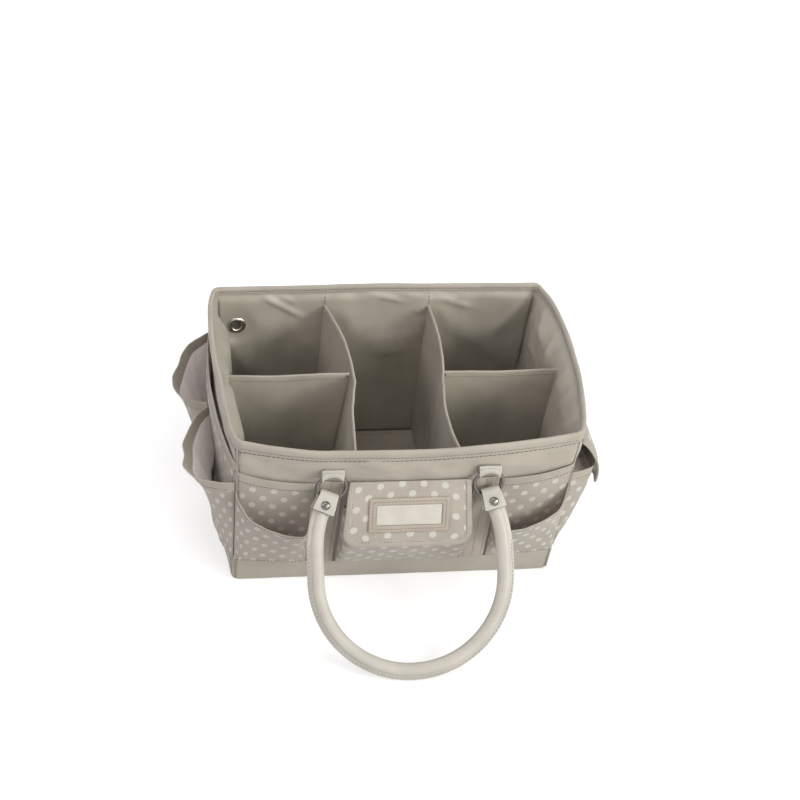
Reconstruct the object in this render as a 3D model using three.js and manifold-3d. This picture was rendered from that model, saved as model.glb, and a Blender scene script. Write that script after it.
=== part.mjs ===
// Craft organizer bag: an open fabric tote that stands by itself on stiff boards. Four dividers part it into
// five compartments, pockets cover its outside, and two handles hang from rings on its front and its back.
// Millimetres, +Z up. The origin is the middle of the underside, the front faces -Y and +X is to its right.
import * as THREE from "three";
import { mergeVertices } from "three/addons/utils/BufferGeometryUtils.js";
import Module from "manifold-3d";

// Bag body
const RIM_WIDTH = 370;
const RIM_DEPTH = 252;
const HEIGHT = 212;
const BASE_WIDTH = 350;
const BASE_DEPTH = 236;
const FRONT_BOW = 22; // how far each wall bows outward at the middle of its rim
const BACK_BOW = 3;
const LEFT_BOW = 11;
const RIGHT_BOW = 17;
const BOW_LOW = 0.4; // share of the bow that is reached at the top of the bottom band

// Cloth and board
const FABRIC = 1.2;
const BOARD = 2.0;
const LINING = 0.8;
const SEAT = 0.3; // clearance between pieces that touch
const POCKET_SEAT = 0.6; // and between a pocket and what it is sewn on
const INSERT = 3.0; // covered board that lies on the bag's bottom

// Rim binding and the plain band round the bottom
const BINDING = 1.0;
const BINDING_DEPTH = 14;
const BINDING_ROUND = 1.1;
const BAND_HEIGHT = 33;

// Dividers
const DIVIDER = 3.0;
const DIVIDER_TOP = 187;
const DIVIDER_SPACING = 118; // between the two long dividers, at the front and back walls
const DIVIDER_BELLY = { left: 15, right: 3.5 }; // how far each one's top bellies into the middle compartment
const DIVIDER_SWAY = { left: -4.5, right: 6 }; // and how far it sways inward in its front half
const DIVIDER_EASE = 0.5;

// Straps, tabs and rings
const STRAP_WIDTH = 28;
const STRAP = 1.5;
const STRAP_TOP = 164;
const HANDLE_SPACING = 168; // between the middles of the two straps, tabs and rings of one side
const TAB_WIDTH = 24.5;
const TAB = 1.3;
const TAB_TOP = 184.5;
const TAB_SEAM = 3.0;
const RING_BORE = 27;
const RING_WIRE = 3.5;
const RING_LEAN = 10; // degrees, outward at its foot

// Handles
const HANDLE_DROP = 187; // from the ring's foot to the middle of the handle's far end
const HANDLE_SPAN = 204; // between the middles of the two legs at their widest
const HANDLE_SHOULDER = 87; // how far down the legs are widest
const HANDLE_WIDTH = 19;
const HANDLE_THICK = 13;
const WRAP_WIDTH = 22;
const WRAP = 1.3;
const WRAP_LENGTH = 16;
const WRAP_FLARE = 0.6;
const RIVET_HEAD = 9.6;
const RIVET_RISE = 2.4;

// Front pockets
const FLAT_POCKET_TOP = 160;
const FLAT_POCKET_LIFT = 7; // how much higher its outer end is sewn
const FLAT_POCKET_EASE = 2;
const LOW_POCKET_ENDS = 136;
const LOW_POCKET_SCOOP = 30; // how far its lip dips below its sewn ends
const LOW_POCKET_FLARE = 27;
const LOW_POCKET_PEAK = 0.32; // where it is deepest, from the strap to the corner
const POCKET_MARGIN = 1.5; // between a pocket's sewn edge and the strap or the corner beside it
const MIDDLE_POCKET_WIDTH = 135;
const MIDDLE_POCKET_TOP = 124;
const MIDDLE_POCKET_BULGE = 91; // height of its fullest line

// Front flap and its label
const FLAP_WIDTH = 131;
const FLAP_SPLAY = 4.5; // how much further each of its sides is at its foot
const FLAP_LENGTH = 77;
const FLAP = 3.0;
const FLAP_TOP = 166;
const FLAP_TILT = 18.5;
const FLAP_CORNER = 17;
const FLAP_EDGE = 7.5; // width of the binding sewn round it
const FLAP_EDGE_PROUD = 0.6;
const LABEL_WIDTH = 87;
const LABEL_HEIGHT = 40;
const LABEL_FRAME = 8;
const LABEL_THICK = 1.6;
const LABEL_PLATE = 0.9;
const LABEL_DROP = 39; // from the flap's top to the middle of the label
const PATCH_WIDTH = 64;
const PATCH_HEIGHT = 16;
const PATCH = 1.0;
const PATCH_DROP = 54;

// Side and back pockets
const TALL_POCKET_TOP = 178;
const TALL_POCKET_EASE = 9;
const BELLOWS_ENDS = 150;
const BELLOWS_DIP = 7; // how far the lip sinks where it stands out furthest
const BELLOWS_BODY = 24; // how far its body stands out
const BELLOWS_FLARE = { rear: 13, front: 20 }; // how much further each one's lip flares
const BELLOWS_SHAPE = { // share of that along each lip, from the middle seam to the corner
  rear: [[0, 0], [0.1, 0.6], [0.19, 0.82], [0.31, 1], [0.43, 0.97], [0.6, 0.8], [0.73, 0.77], [0.89, 0.55], [1, 0]],
  front: [[0, 0], [0.1, 0.3], [0.26, 0.56], [0.45, 0.78], [0.59, 0.82], [0.71, 1], [0.88, 0.8], [0.96, 0.55], [1, 0]],
};
const SIDE_FLAT_TOP = 158;
const FLAP_POCKET_TOP = 150;
const FLAP_POCKET_FULL = 24;
const FLAP_POCKET_SHAPE = [[0, 0], [0.15, 0.17], [0.49, 0.46], [0.74, 0.81], [0.86, 1], [0.95, 0.85], [1, 0.3]];
const SIDE_FLAP_TOP = 189;
const SIDE_FLAP_END = 122;
const SIDE_FLAP = 2.4;
const BACK_POCKET_TOP = 140;

// Eyelet in the back wall
const EYELET_BORE = 10;
const EYELET_OUTER = 22;
const EYELET_WALL = 0.8;
const EYELET_INSET = 26; // from the bag's left side
const EYELET_HEIGHT = 160;

// Facets
const WALL_STEPS = { front: 12, back: 4, left: 8, right: 10 };
const RISE_STEPS = 4;
const POCKET_STEPS = 10;
const POCKET_RISE = 6;
const RING_STEPS = 20;
const WIRE_STEPS = 6;
const HANDLE_SIDES = 10;
const LEG_STEPS = 5;
const BEND_STEPS = 16;

// What follows from them
const WALL = FABRIC + SEAT + BOARD + SEAT + LINING;
const FLOOR = FABRIC + SEAT;
const WALL_TOP = HEIGHT - BINDING - SEAT;
const SEWN = BAND_HEIGHT + SEAT; // where straps and pockets meet the bottom band
const SKIN = SEAT + FABRIC; // outer face of a cloth that lies flat on the wall
const SEWN_ON = POCKET_SEAT + FABRIC; // and of a pocket
const RING_REACH = (RING_BORE + RING_WIRE) / 2;
const UNDER_LID = FLAP_LENGTH - FLAP_EDGE;

const { lerp, clamp, degToRad, smoothstep } = THREE.MathUtils;
const wasm = await Module();
wasm.setup();

// Materials
const cloth = (color, roughness = 0.85) => new THREE.MeshStandardMaterial({ color, roughness, metalness: 0 });
const metal = (color, roughness) => new THREE.MeshStandardMaterial({ color, roughness, metalness: 1 });
const MATERIALS = {
  plain: () => cloth(0xb3a99a),
  dotted: () => cloth(0xbab0a3),
  lining: () => cloth(0x8f8a7c, 0.55),
  binding: () => cloth(0xcfc7ba),
  board: () => cloth(0x9a8f7d),
  leather: () => cloth(0xd6cfc3, 0.5),
  label: () => cloth(0xd9c8ae, 0.6),
  plate: () => cloth(0xe4e0dc, 0.35),
  patch: () => cloth(0xc9c0b2, 0.95),
  chrome: () => metal(0xd8d8d8, 0.18),
};

const bag = new THREE.Group();

function place(name, geometry, material, parent = bag) {
  const mesh = new THREE.Mesh(geometry, MATERIALS[material]());
  mesh.name = name;
  parent.add(mesh);
  return mesh;
}

// The bag's outer faces
const halfWidth = (z) => lerp(BASE_WIDTH, RIM_WIDTH, z / HEIGHT) / 2;
const halfDepth = (z) => lerp(BASE_DEPTH, RIM_DEPTH, z / HEIGHT) / 2;

const crosswise = { crosswise: true, stand: halfDepth, run: halfWidth };
const lengthwise = { crosswise: false, stand: halfWidth, run: halfDepth };
const FRONT = { ...crosswise, name: "front", sign: -1, heading: 1, bow: FRONT_BOW, steps: WALL_STEPS.front };
const RIGHT = { ...lengthwise, name: "right", sign: 1, heading: 1, bow: RIGHT_BOW, steps: WALL_STEPS.right };
const BACK = { ...crosswise, name: "back", sign: 1, heading: -1, bow: BACK_BOW, steps: WALL_STEPS.back };
const LEFT = { ...lengthwise, name: "left", sign: -1, heading: -1, bow: LEFT_BOW, steps: WALL_STEPS.left };
const WALLS = [FRONT, RIGHT, BACK, LEFT];

// How far a wall's outer face stands from the bag's middle, at a share of the way to its corner.
function reachAt(wall, share, z) {
  const above = (z - BAND_HEIGHT) / (HEIGHT - BAND_HEIGHT);
  const rise = above < 0 ? BOW_LOW * z / BAND_HEIGHT : lerp(BOW_LOW, 1, above);
  return wall.stand(z) + wall.bow * (1 - share ** 2) * rise;
}

const reach = (wall, along, z) => reachAt(wall, along / wall.run(z), z);

// A point beside a wall: along it, out from its outer face, and up.
function beside(wall, along, out, z) {
  const stand = wall.sign * (reach(wall, along, z) + out);
  return wall.crosswise ? new THREE.Vector3(along, stand, z) : new THREE.Vector3(stand, along, z);
}

// Closed solids from points
function solid(points, faces) {
  const geometry = new THREE.BufferGeometry().setFromPoints(points);
  const volume = faces.reduce((sum, [a, b, c]) => {
    return sum + points[a].dot(new THREE.Vector3().crossVectors(points[b], points[c]));
  }, 0);
  const outward = volume < 0 ? faces.map(([a, b, c]) => [a, c, b]) : faces;
  return geometry.setIndex(outward.flat());
}

// A sheet between two faces, each a point for every (u, v) from 0 to 1.
function sheet(outer, inner, across, up) {
  const points = [];
  const faces = [];
  const row = up + 1;
  const layer = (across + 1) * row;
  for (const face of [outer, inner]) {
    for (let i = 0; i <= across; i++) {
      for (let j = 0; j <= up; j++) points.push(face(i / across, j / up));
    }
  }
  const quad = (a, b, c, d) => faces.push([a, b, c], [a, c, d]);
  for (let i = 0; i < across; i++) {
    for (let j = 0; j < up; j++) {
      const a = i * row + j;
      quad(a, a + row, a + row + 1, a + 1);
      quad(layer + a, layer + a + 1, layer + a + row + 1, layer + a + row);
    }
    for (const [j, flip] of [[0, true], [up, false]]) {
      const a = i * row + j;
      if (flip) quad(a, a + layer, a + layer + row, a + row);
      else quad(a, a + row, a + layer + row, a + layer);
    }
  }
  for (let j = 0; j < up; j++) {
    for (const [i, flip] of [[0, false], [across, true]]) {
      const a = i * row + j;
      if (flip) quad(a, a + layer, a + layer + 1, a + 1);
      else quad(a, a + 1, a + layer + 1, a + layer);
    }
  }
  return solid(points, faces);
}

// A skin over rings of points. Its ends are fans, or it closes on itself.
function loft(rings, closed = false) {
  const sides = rings[0].length;
  const points = rings.flat();
  const faces = [];
  const spans = closed ? rings.length : rings.length - 1;
  for (let i = 0; i < spans; i++) {
    const a = i * sides;
    const b = ((i + 1) % rings.length) * sides;
    for (let j = 0; j < sides; j++) {
      const k = (j + 1) % sides;
      const upward = points[a + k].z >= points[a + j].z;
      if (upward) faces.push([a + j, b + j, b + k], [a + j, b + k, a + k]);
      else faces.push([a + j, b + j, a + k], [b + j, b + k, a + k]);
    }
  }
  if (!closed) {
    const last = (rings.length - 1) * sides;
    for (let j = 1; j < sides - 1; j++) {
      faces.push([0, j, j + 1], [last, last + j + 1, last + j]);
    }
  }
  return solid(points, faces);
}

// One turn round the bag's outside, as far out and as high as each corner of a section says.
function aroundBag(section) {
  const stations = WALLS.flatMap((wall) => {
    return Array.from({ length: wall.steps }, (_, i) => [wall, wall.heading * (2 * i / wall.steps - 1)]);
  });
  const rings = stations.map(([wall, share]) => section.map(([out, z]) => {
    const stand = wall.sign * (reachAt(wall, share, z) + out);
    const along = share * (wall.run(z) + out);
    return wall.crosswise ? new THREE.Vector3(along, stand, z) : new THREE.Vector3(stand, along, z);
  }));
  return loft(rings, true);
}

// A layer of it between two offsets
function layerAround(outer, inner, heights) {
  return aroundBag([...heights.map((z) => [outer, z]), ...heights.toReversed().map((z) => [inner, z])]);
}

// A flat outline drawn on the bag's front, x across and y up, and as thick as it stands out.
const FACING_FRONT = new THREE.Matrix4().makeBasis(
  new THREE.Vector3(1, 0, 0), new THREE.Vector3(0, 0, 1), new THREE.Vector3(0, -1, 0));
function plateOf(shape, thickness, out) {
  const geometry = new THREE.ExtrudeGeometry(shape, { depth: thickness, bevelEnabled: false, curveSegments: 5 });
  return geometry.translate(0, 0, out).applyMatrix4(FACING_FRONT);
}

// A profile of outward and up, as wide as a strip of webbing.
const FACING_SIDE = new THREE.Matrix4().makeBasis(
  new THREE.Vector3(0, -1, 0), new THREE.Vector3(0, 0, 1), new THREE.Vector3(-1, 0, 0));
function stripOf(shape, width) {
  const geometry = new THREE.ExtrudeGeometry(shape, { depth: width, bevelEnabled: false, curveSegments: 8 });
  return geometry.translate(0, 0, -width / 2).applyMatrix4(FACING_SIDE);
}

function rectangle(width, height, middle) {
  const [x, low, high] = [width / 2, middle - height / 2, middle + height / 2];
  return [[-x, low], [x, low], [x, high], [-x, high]].map(([a, b]) => new THREE.Vector2(a, b));
}

// Geometry to an exact solid and back, for holes that go through other pieces.
function exact(geometry) {
  const bare = new THREE.BufferGeometry().setAttribute("position", geometry.getAttribute("position"));
  const merged = mergeVertices(geometry.index ? bare.setIndex(geometry.index) : bare, 1e-3);
  const vertProperties = merged.attributes.position.array;
  const triVerts = new Uint32Array(merged.index.array);
  return new wasm.Manifold(new wasm.Mesh({ numProp: 3, vertProperties, triVerts }));
}

function drilled(geometry, drill) {
  const cut = exact(geometry).subtract(exact(drill)).getMesh();
  const made = new THREE.BufferGeometry();
  made.setAttribute("position", new THREE.BufferAttribute(cut.vertProperties, 3));
  return made.setIndex(new THREE.BufferAttribute(cut.triVerts, 1));
}

// Walls: every layer has its facets in the same places, so that they lie snug
const WALL_LEVELS = [FLOOR, BAND_HEIGHT];
for (let i = 1; i <= RISE_STEPS; i++) WALL_LEVELS.push(lerp(BAND_HEIGHT, WALL_TOP, i / RISE_STEPS));

function wallLayer(wall, out, thickness, ends) {
  const face = (depth) => (u, v) => {
    const z = WALL_LEVELS[Math.round(v * (WALL_LEVELS.length - 1))];
    const end = wall.run(z) - ends;
    return beside(wall, clamp(wall.heading * (2 * u - 1) * wall.run(z), -end, end), depth, z);
  };
  return sheet(face(out), face(out - thickness), wall.steps, WALL_LEVELS.length - 1);
}

const FABRIC_BACK = FABRIC + SEAT;
const BOARD_BACK = FABRIC_BACK + BOARD + SEAT;

// Geometry drawn round +Y, moved to the eyelet's place square to the back wall
function atEyelet(geometry) {
  const x = -(halfWidth(EYELET_HEIGHT) - EYELET_INSET);
  const on = (dx, dz) => beside(BACK, x + dx, 0, EYELET_HEIGHT + dz);
  const across = on(1, 0).sub(on(-1, 0)).normalize();
  const out = on(0, 1).sub(on(0, -1)).cross(across).normalize();
  const turned = new THREE.Matrix4().makeBasis(across, out, new THREE.Vector3().crossVectors(across, out));
  return geometry.applyMatrix4(turned.setPosition(on(0, 0)));
}

function walls() {
  const hole = EYELET_BORE / 2 + EYELET_WALL + SEAT;
  const drill = () => atEyelet(new THREE.CylinderGeometry(hole, hole, 4 * WALL, RING_STEPS));
  for (const wall of WALLS) {
    const panel = wallLayer(wall, 0, FABRIC, wall.crosswise ? 0 : FABRIC_BACK);
    const board = wallLayer(wall, -FABRIC_BACK, BOARD, wall.crosswise ? FABRIC_BACK : BOARD_BACK);
    place(wall.name + "_panel", wall === BACK ? drilled(panel, drill()) : panel, "plain");
    place(wall.name + "_board", wall === BACK ? drilled(board, drill()) : board, "board");
  }
  place("lining", drilled(layerAround(-BOARD_BACK, -WALL, WALL_LEVELS), drill()), "lining");
}

function base() {
  place("base_panel", new THREE.BoxGeometry(BASE_WIDTH, BASE_DEPTH, FABRIC).translate(0, 0, FABRIC / 2), "plain");
  const room = 2 * (WALL + DIVIDER_EASE);
  const insert = new THREE.BoxGeometry(BASE_WIDTH - room, BASE_DEPTH - room, INSERT);
  place("base_insert", insert.translate(0, 0, FLOOR + INSERT / 2), "lining");
}

function rimAndBand() {
  const [outer, inner] = [SEAT + BINDING, WALL + SEAT + BINDING];
  const foot = HEIGHT - BINDING_DEPTH;
  place("rim_binding", aroundBag([
    [outer, foot], [outer, HEIGHT - BINDING_ROUND], [outer - BINDING_ROUND, HEIGHT],
    [BINDING_ROUND - inner, HEIGHT], [-inner, HEIGHT - BINDING_ROUND], [-inner, foot],
    [-WALL - SEAT, foot], [-WALL - SEAT, HEIGHT - BINDING], [SEAT, HEIGHT - BINDING], [SEAT, foot]]), "binding");
  place("bottom_band", layerAround(SKIN, SEAT, [SEAT, BAND_HEIGHT]), "plain");
}

// Dividers
const DIVIDER_FOOT = FLOOR + INSERT + SEAT;

// Middle of a long divider: it stands straight at the walls and wanders between them.
function dividerX(side, u, z) {
  const inward = DIVIDER_BELLY[side] * Math.sin(Math.PI * u) + DIVIDER_SWAY[side] * Math.sin(2 * Math.PI * u);
  return DIVIDER_SPACING / 2 - inward * z / DIVIDER_TOP;
}

function dividers() {
  const inside = WALL + DIVIDER_EASE;
  for (const [side, sign, wall] of [["left", -1, LEFT], ["right", 1, RIGHT]]) {
    const long = (offset) => (u, v) => {
      const z = lerp(DIVIDER_FOOT, DIVIDER_TOP, v);
      const x = sign * (dividerX(side, u, z) + offset);
      return new THREE.Vector3(x, lerp(inside - reach(FRONT, x, z), reach(BACK, x, z) - inside, u), z);
    };
    place(side + "_long_divider", sheet(long(DIVIDER / 2), long(-DIVIDER / 2), 8, 2), "lining");
    const cross = (offset) => (u, v) => {
      const z = lerp(DIVIDER_FOOT, DIVIDER_TOP, v);
      const [fore, aft] = [reach(FRONT, 0, z) - inside, reach(BACK, 0, z) - inside];
      const inner = dividerX(side, fore / (fore + aft), z) + DIVIDER / 2 + DIVIDER_EASE;
      const x = lerp(inner, reach(wall, 0, z) - inside, u);
      return new THREE.Vector3(sign * x, offset, z);
    };
    place(side + "_cross_divider", sheet(cross(DIVIDER / 2), cross(-DIVIDER / 2), 2, 2), "lining");
  }
}

// Pockets: each is a cloth sewn to a wall along its ends and its foot.
// How a pocket stands out along its length: not at its sewn ends, fully near its peak.
function swell(u, peak = 0.5, fullness = 0.75) {
  const skewed = u < peak ? u / (2 * peak) : 1 - (1 - u) / (2 * (1 - peak));
  return Math.sin(Math.PI * skewed) ** fullness;
}

// The value at a share of the way along a table of [share, value].
function follow(table, share) {
  const next = Math.max(1, table.findIndex(([at]) => at >= share));
  const [[a, low], [b, high]] = [table[next - 1], table[next]];
  return lerp(low, high, (share - a) / (b - a));
}

function pocket(name, { wall, from, to, top, out, thickness = FABRIC, foot = SEWN, steps = POCKET_STEPS,
  rise = POCKET_RISE, material = "dotted" }) {
  const face = (depth) => (u, v) => {
    const z = lerp(foot, top(u), v);
    return beside(wall, lerp(from, to(z), u), out(u, v, z) - depth, z);
  };
  place(name, sheet(face(0), face(thickness), steps, rise), material);
}

const cornerEnd = (wall, sign) => (z) => sign * (wall.run(z) - POCKET_MARGIN);
const STRAP_OUTSIDE = (HANDLE_SPACING + STRAP_WIDTH) / 2 + POCKET_MARGIN;
const flatPocketTop = (u) => FLAT_POCKET_TOP + FLAT_POCKET_LIFT * u ** 3;
const flatPocketOut = (u, z) => SEWN_ON + FLAT_POCKET_EASE * swell(u) * smoothstep(z, SEWN, flatPocketTop(u));

function frontPockets() {
  for (const [side, sign] of [["left", -1], ["right", 1]]) {
    const span = { wall: FRONT, from: sign * STRAP_OUTSIDE, to: cornerEnd(FRONT, sign) };
    pocket("front_" + side + "_flat_pocket", {
      ...span, top: flatPocketTop, out: (u, v, z) => flatPocketOut(u, z), steps: 6, rise: 4 });
    pocket("front_" + side + "_low_pocket", {
      ...span,
      top: (u) => LOW_POCKET_ENDS - LOW_POCKET_SCOOP * swell(u, LOW_POCKET_PEAK, 0.6),
      out: (u, v, z) => flatPocketOut(u, z) + SEWN_ON + LOW_POCKET_FLARE * swell(u, LOW_POCKET_PEAK, 0.6) * v });
  }
}

// The middle pocket stands out as a wedge under the flap, with a gusset down each side.
const flapSeat = () => reach(FRONT, 0, FLAP_TOP) + SEAT;
const underFlap = (z) => flapSeat() + (FLAP_TOP - z) * Math.tan(degToRad(FLAP_TILT));
const CLOSURE = 2 * PATCH + 3 * SEAT; // hook patch, loop patch and the seats between flap and pocket
const closureRoom = () => CLOSURE / Math.cos(degToRad(FLAP_TILT));

function middlePocket() {
  const half = MIDDLE_POCKET_WIDTH / 2;
  const front = (z) => {
    const lip = underFlap(Math.max(z, MIDDLE_POCKET_BULGE)) - closureRoom();
    const share = Math.min(1, (z - SEWN) / (MIDDLE_POCKET_BULGE - SEWN));
    return lerp(reach(FRONT, 0, z) + SEWN_ON, lip, share ** 0.85);
  };
  const face = (depth) => (u, v) => {
    const z = lerp(SEWN, MIDDLE_POCKET_TOP, v);
    const gusset = 1 / 8;
    const side = half - depth;
    const x = lerp(-side, side, clamp((u - gusset) / (1 - 2 * gusset), 0, 1));
    const turn = Math.min(1, Math.min(u, 1 - u) / gusset);
    const sewn = reach(FRONT, half, z) + POCKET_SEAT;
    const y = turn === 0 ? sewn : lerp(sewn, front(z) - depth, turn);
    return new THREE.Vector3(x, -y, z);
  };
  place("front_middle_pocket", sheet(face(0), face(FABRIC), 8, POCKET_RISE), "dotted");
}

// Flap over the middle pocket, drawn from its seam down
function flapOutline(inset, top) {
  const [half, foot, radius] = [FLAP_WIDTH / 2 - inset, -(FLAP_LENGTH - inset), FLAP_CORNER - inset];
  const wide = half + FLAP_SPLAY;
  const shape = new THREE.Shape();
  shape.moveTo(-half, top);
  shape.lineTo(-wide, foot + radius);
  shape.absarc(-wide + radius, foot + radius, radius, Math.PI, 1.5 * Math.PI);
  shape.lineTo(wide - radius, foot);
  shape.absarc(wide - radius, foot + radius, radius, 1.5 * Math.PI, 2 * Math.PI);
  shape.lineTo(half, top);
  return shape;
}

function frontFlap() {
  const flap = new THREE.Group();
  flap.position.set(0, -flapSeat(), FLAP_TOP);
  flap.rotation.x = -degToRad(FLAP_TILT);
  bag.add(flap);
  place("front_flap", plateOf(flapOutline(FLAP_EDGE + SEAT, 0), FLAP, 0), "dotted", flap);

  const edge = flapOutline(0, 0);
  const inner = flapOutline(FLAP_EDGE, 0).getPoints(5).reverse();
  const bound = new THREE.Shape([...edge.getPoints(5), ...inner]);
  const edging = plateOf(bound, FLAP + FLAP_EDGE_PROUD, 0);
  place("front_flap_edging", edging, "binding", flap);

  const frame = new THREE.Shape(rectangle(LABEL_WIDTH, LABEL_HEIGHT, -LABEL_DROP));
  const opening = [LABEL_WIDTH - 2 * LABEL_FRAME, LABEL_HEIGHT - 2 * LABEL_FRAME];
  frame.holes.push(new THREE.Path(rectangle(...opening, -LABEL_DROP).reverse()));
  place("label_frame", plateOf(frame, LABEL_THICK, FLAP + SEAT), "label", flap);
  const plate = rectangle(opening[0] - 2 * SEAT, opening[1] - 2 * SEAT, -LABEL_DROP);
  place("label_plate", plateOf(new THREE.Shape(plate), LABEL_PLATE, FLAP + SEAT), "plate", flap);

  const patch = new THREE.Shape(rectangle(PATCH_WIDTH, PATCH_HEIGHT, -PATCH_DROP));
  place("flap_hook_patch", plateOf(patch, PATCH, -SEAT - PATCH), "patch", flap);
  place("pocket_loop_patch", plateOf(patch, PATCH, -2 * (SEAT + PATCH)), "patch", flap);
}

// Straps, on the front and on the back
function straps() {
  for (const [face, wall] of [["front", FRONT], ["back", BACK]]) {
    for (const [side, sign] of [["left", -1], ["right", 1]]) {
      const from = sign * (HANDLE_SPACING - STRAP_WIDTH) / 2;
      pocket(face + "_" + side + "_strap", {
        wall, from, to: () => sign * (HANDLE_SPACING + STRAP_WIDTH) / 2, top: () => STRAP_TOP,
        out: () => POCKET_SEAT + STRAP, thickness: STRAP, steps: 2, rise: 4, material: "plain" });
    }
  }
}

// Side and back pockets
const tallPocketOut = (u, z) => {
  const rise = Math.min(1, (z - SEWN) / (TALL_POCKET_TOP - SEWN));
  return SEWN_ON + TALL_POCKET_EASE * swell(u) * rise ** 1.5;
};

function leftPockets() {
  const sewnTo = (sign) => (z) => sign * (LEFT.run(z) - POCKET_MARGIN);
  const tall = (u, v, z) => tallPocketOut(u, z);
  const face = (depth) => (u, v) => {
    const z = lerp(SEWN, TALL_POCKET_TOP, v);
    return beside(LEFT, lerp(sewnTo(1)(z), sewnTo(-1)(z), u), tall(u, v, z) - depth, z);
  };
  place("left_tall_pocket", sheet(face(0), face(FABRIC), POCKET_STEPS, POCKET_RISE), "dotted");

  for (const [end, sign] of [["rear", 1], ["front", -1]]) {
    const full = (u) => follow(BELLOWS_SHAPE[end], u);
    pocket("left_" + end + "_bellows_pocket", {
      wall: LEFT,
      from: sign * POCKET_MARGIN,
      to: sewnTo(sign),
      top: (u) => BELLOWS_ENDS - BELLOWS_DIP * full(u),
      out: (u, v, z) => {
        const body = BELLOWS_BODY * Math.sin(v * Math.PI / 2) + BELLOWS_FLARE[end] * v ** 6;
        return tallPocketOut(0.5 + 0.5 * u, z) + SEWN_ON + body * full(u);
      },
    });
  }
}

// The right side's flap pocket is fullest near the bag's front corner and lies flat towards the middle.
const flapPocketFull = (u) => SEWN_ON + FLAP_POCKET_FULL * follow(FLAP_POCKET_SHAPE, u);

function rightPockets() {
  pocket("right_rear_pocket", {
    wall: RIGHT, from: POCKET_MARGIN, to: cornerEnd(RIGHT, 1), top: () => SIDE_FLAT_TOP,
    out: (u, v) => SEWN_ON + FLAT_POCKET_EASE * swell(u) * v, steps: 6, rise: 4 });
  const span = { wall: RIGHT, from: -POCKET_MARGIN, to: cornerEnd(RIGHT, -1) };
  pocket("right_flap_pocket", {
    ...span, top: () => FLAP_POCKET_TOP,
    out: (u, v) => lerp(SEWN_ON, flapPocketFull(u), Math.sin(v * Math.PI / 2) ** 0.8) });
  pocket("right_flap", {
    ...span, thickness: SIDE_FLAP, foot: SIDE_FLAP_END, top: () => SIDE_FLAP_TOP, material: "plain",
    out: (u, v) => {
      const seam = POCKET_SEAT + SIDE_FLAP;
      const hem = SEAT + SIDE_FLAP + 1.2 * flapPocketFull(u);
      return lerp(seam, hem, Math.sin(Math.min(1, 1.15 * (1 - v)) * Math.PI / 2) ** 0.8);
    } });
}

function backPockets() {
  const top = () => BACK_POCKET_TOP;
  const out = (u, v) => SEWN_ON + FLAT_POCKET_EASE * swell(u) * v;
  const inside = (HANDLE_SPACING - STRAP_WIDTH) / 2 - POCKET_MARGIN;
  pocket("back_middle_pocket", { wall: BACK, from: -inside, to: () => inside, top, out, steps: 4, rise: 3 });
  for (const [side, sign] of [["left", -1], ["right", 1]]) {
    pocket("back_" + side + "_pocket", {
      wall: BACK, from: sign * STRAP_OUTSIDE, to: cornerEnd(BACK, sign), top, out, steps: 4, rise: 3 });
  }
}

// Eyelet through the back wall: a barrel with a flange on each face
function eyelet() {
  const [bore, outer, wall] = [EYELET_BORE / 2, EYELET_OUTER / 2, EYELET_WALL];
  const [inside, outside] = [-WALL - SEAT, SEAT];
  const profile = [
    [bore, inside - wall], [outer - wall, inside - wall], [outer, inside - wall / 2], [outer, inside],
    [bore + wall, inside], [bore + wall, outside], [outer, outside], [outer, outside + wall / 2],
    [outer - wall, outside + wall], [bore, outside + wall]];
  const points = [...profile, profile[0]].map(([radius, height]) => new THREE.Vector2(radius, height));
  place("eyelet", atEyelet(new THREE.LatheGeometry(points, RING_STEPS)), "chrome");
}

// Tabs, rings and handle of one side, drawn as they hang on the front
// The ring's foot lies below the tab's seam, as far out as its lean takes it.
const tabTop = () => new THREE.Vector2(TAB_SEAM / 2, TAB_TOP - TAB_SEAM / 2);
const ringTop = () => new THREE.Vector2(TAB + SEAT + RING_WIRE / 2, TAB_TOP - 6);
const ringDown = () => new THREE.Vector2(Math.sin(degToRad(RING_LEAN)), -Math.cos(degToRad(RING_LEAN)));
const ringCentre = () => ringTop().addScaledVector(ringDown(), RING_REACH);

// Off its middle the ring's wire has dropped, and it lies askew, so it takes more room up and down.
const wireDrop = (across) => RING_REACH - Math.sqrt(RING_REACH ** 2 - across ** 2);
const wireRoom = (across) => RING_WIRE / 2 * RING_REACH / Math.sqrt(RING_REACH ** 2 - across ** 2);

// The wrap's eye holds the ring's foot, and the handle hinges about its middle.
const eyeSpan = () => RING_WIRE / 2 + wireDrop(WRAP_WIDTH / 2) + wireRoom(WRAP_WIDTH / 2);
const EYE = () => eyeSpan() / 2 + SEAT;
const hang = () => ringCentre().addScaledVector(ringDown(), RING_REACH + (RING_WIRE - eyeSpan()) / 2);

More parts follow.
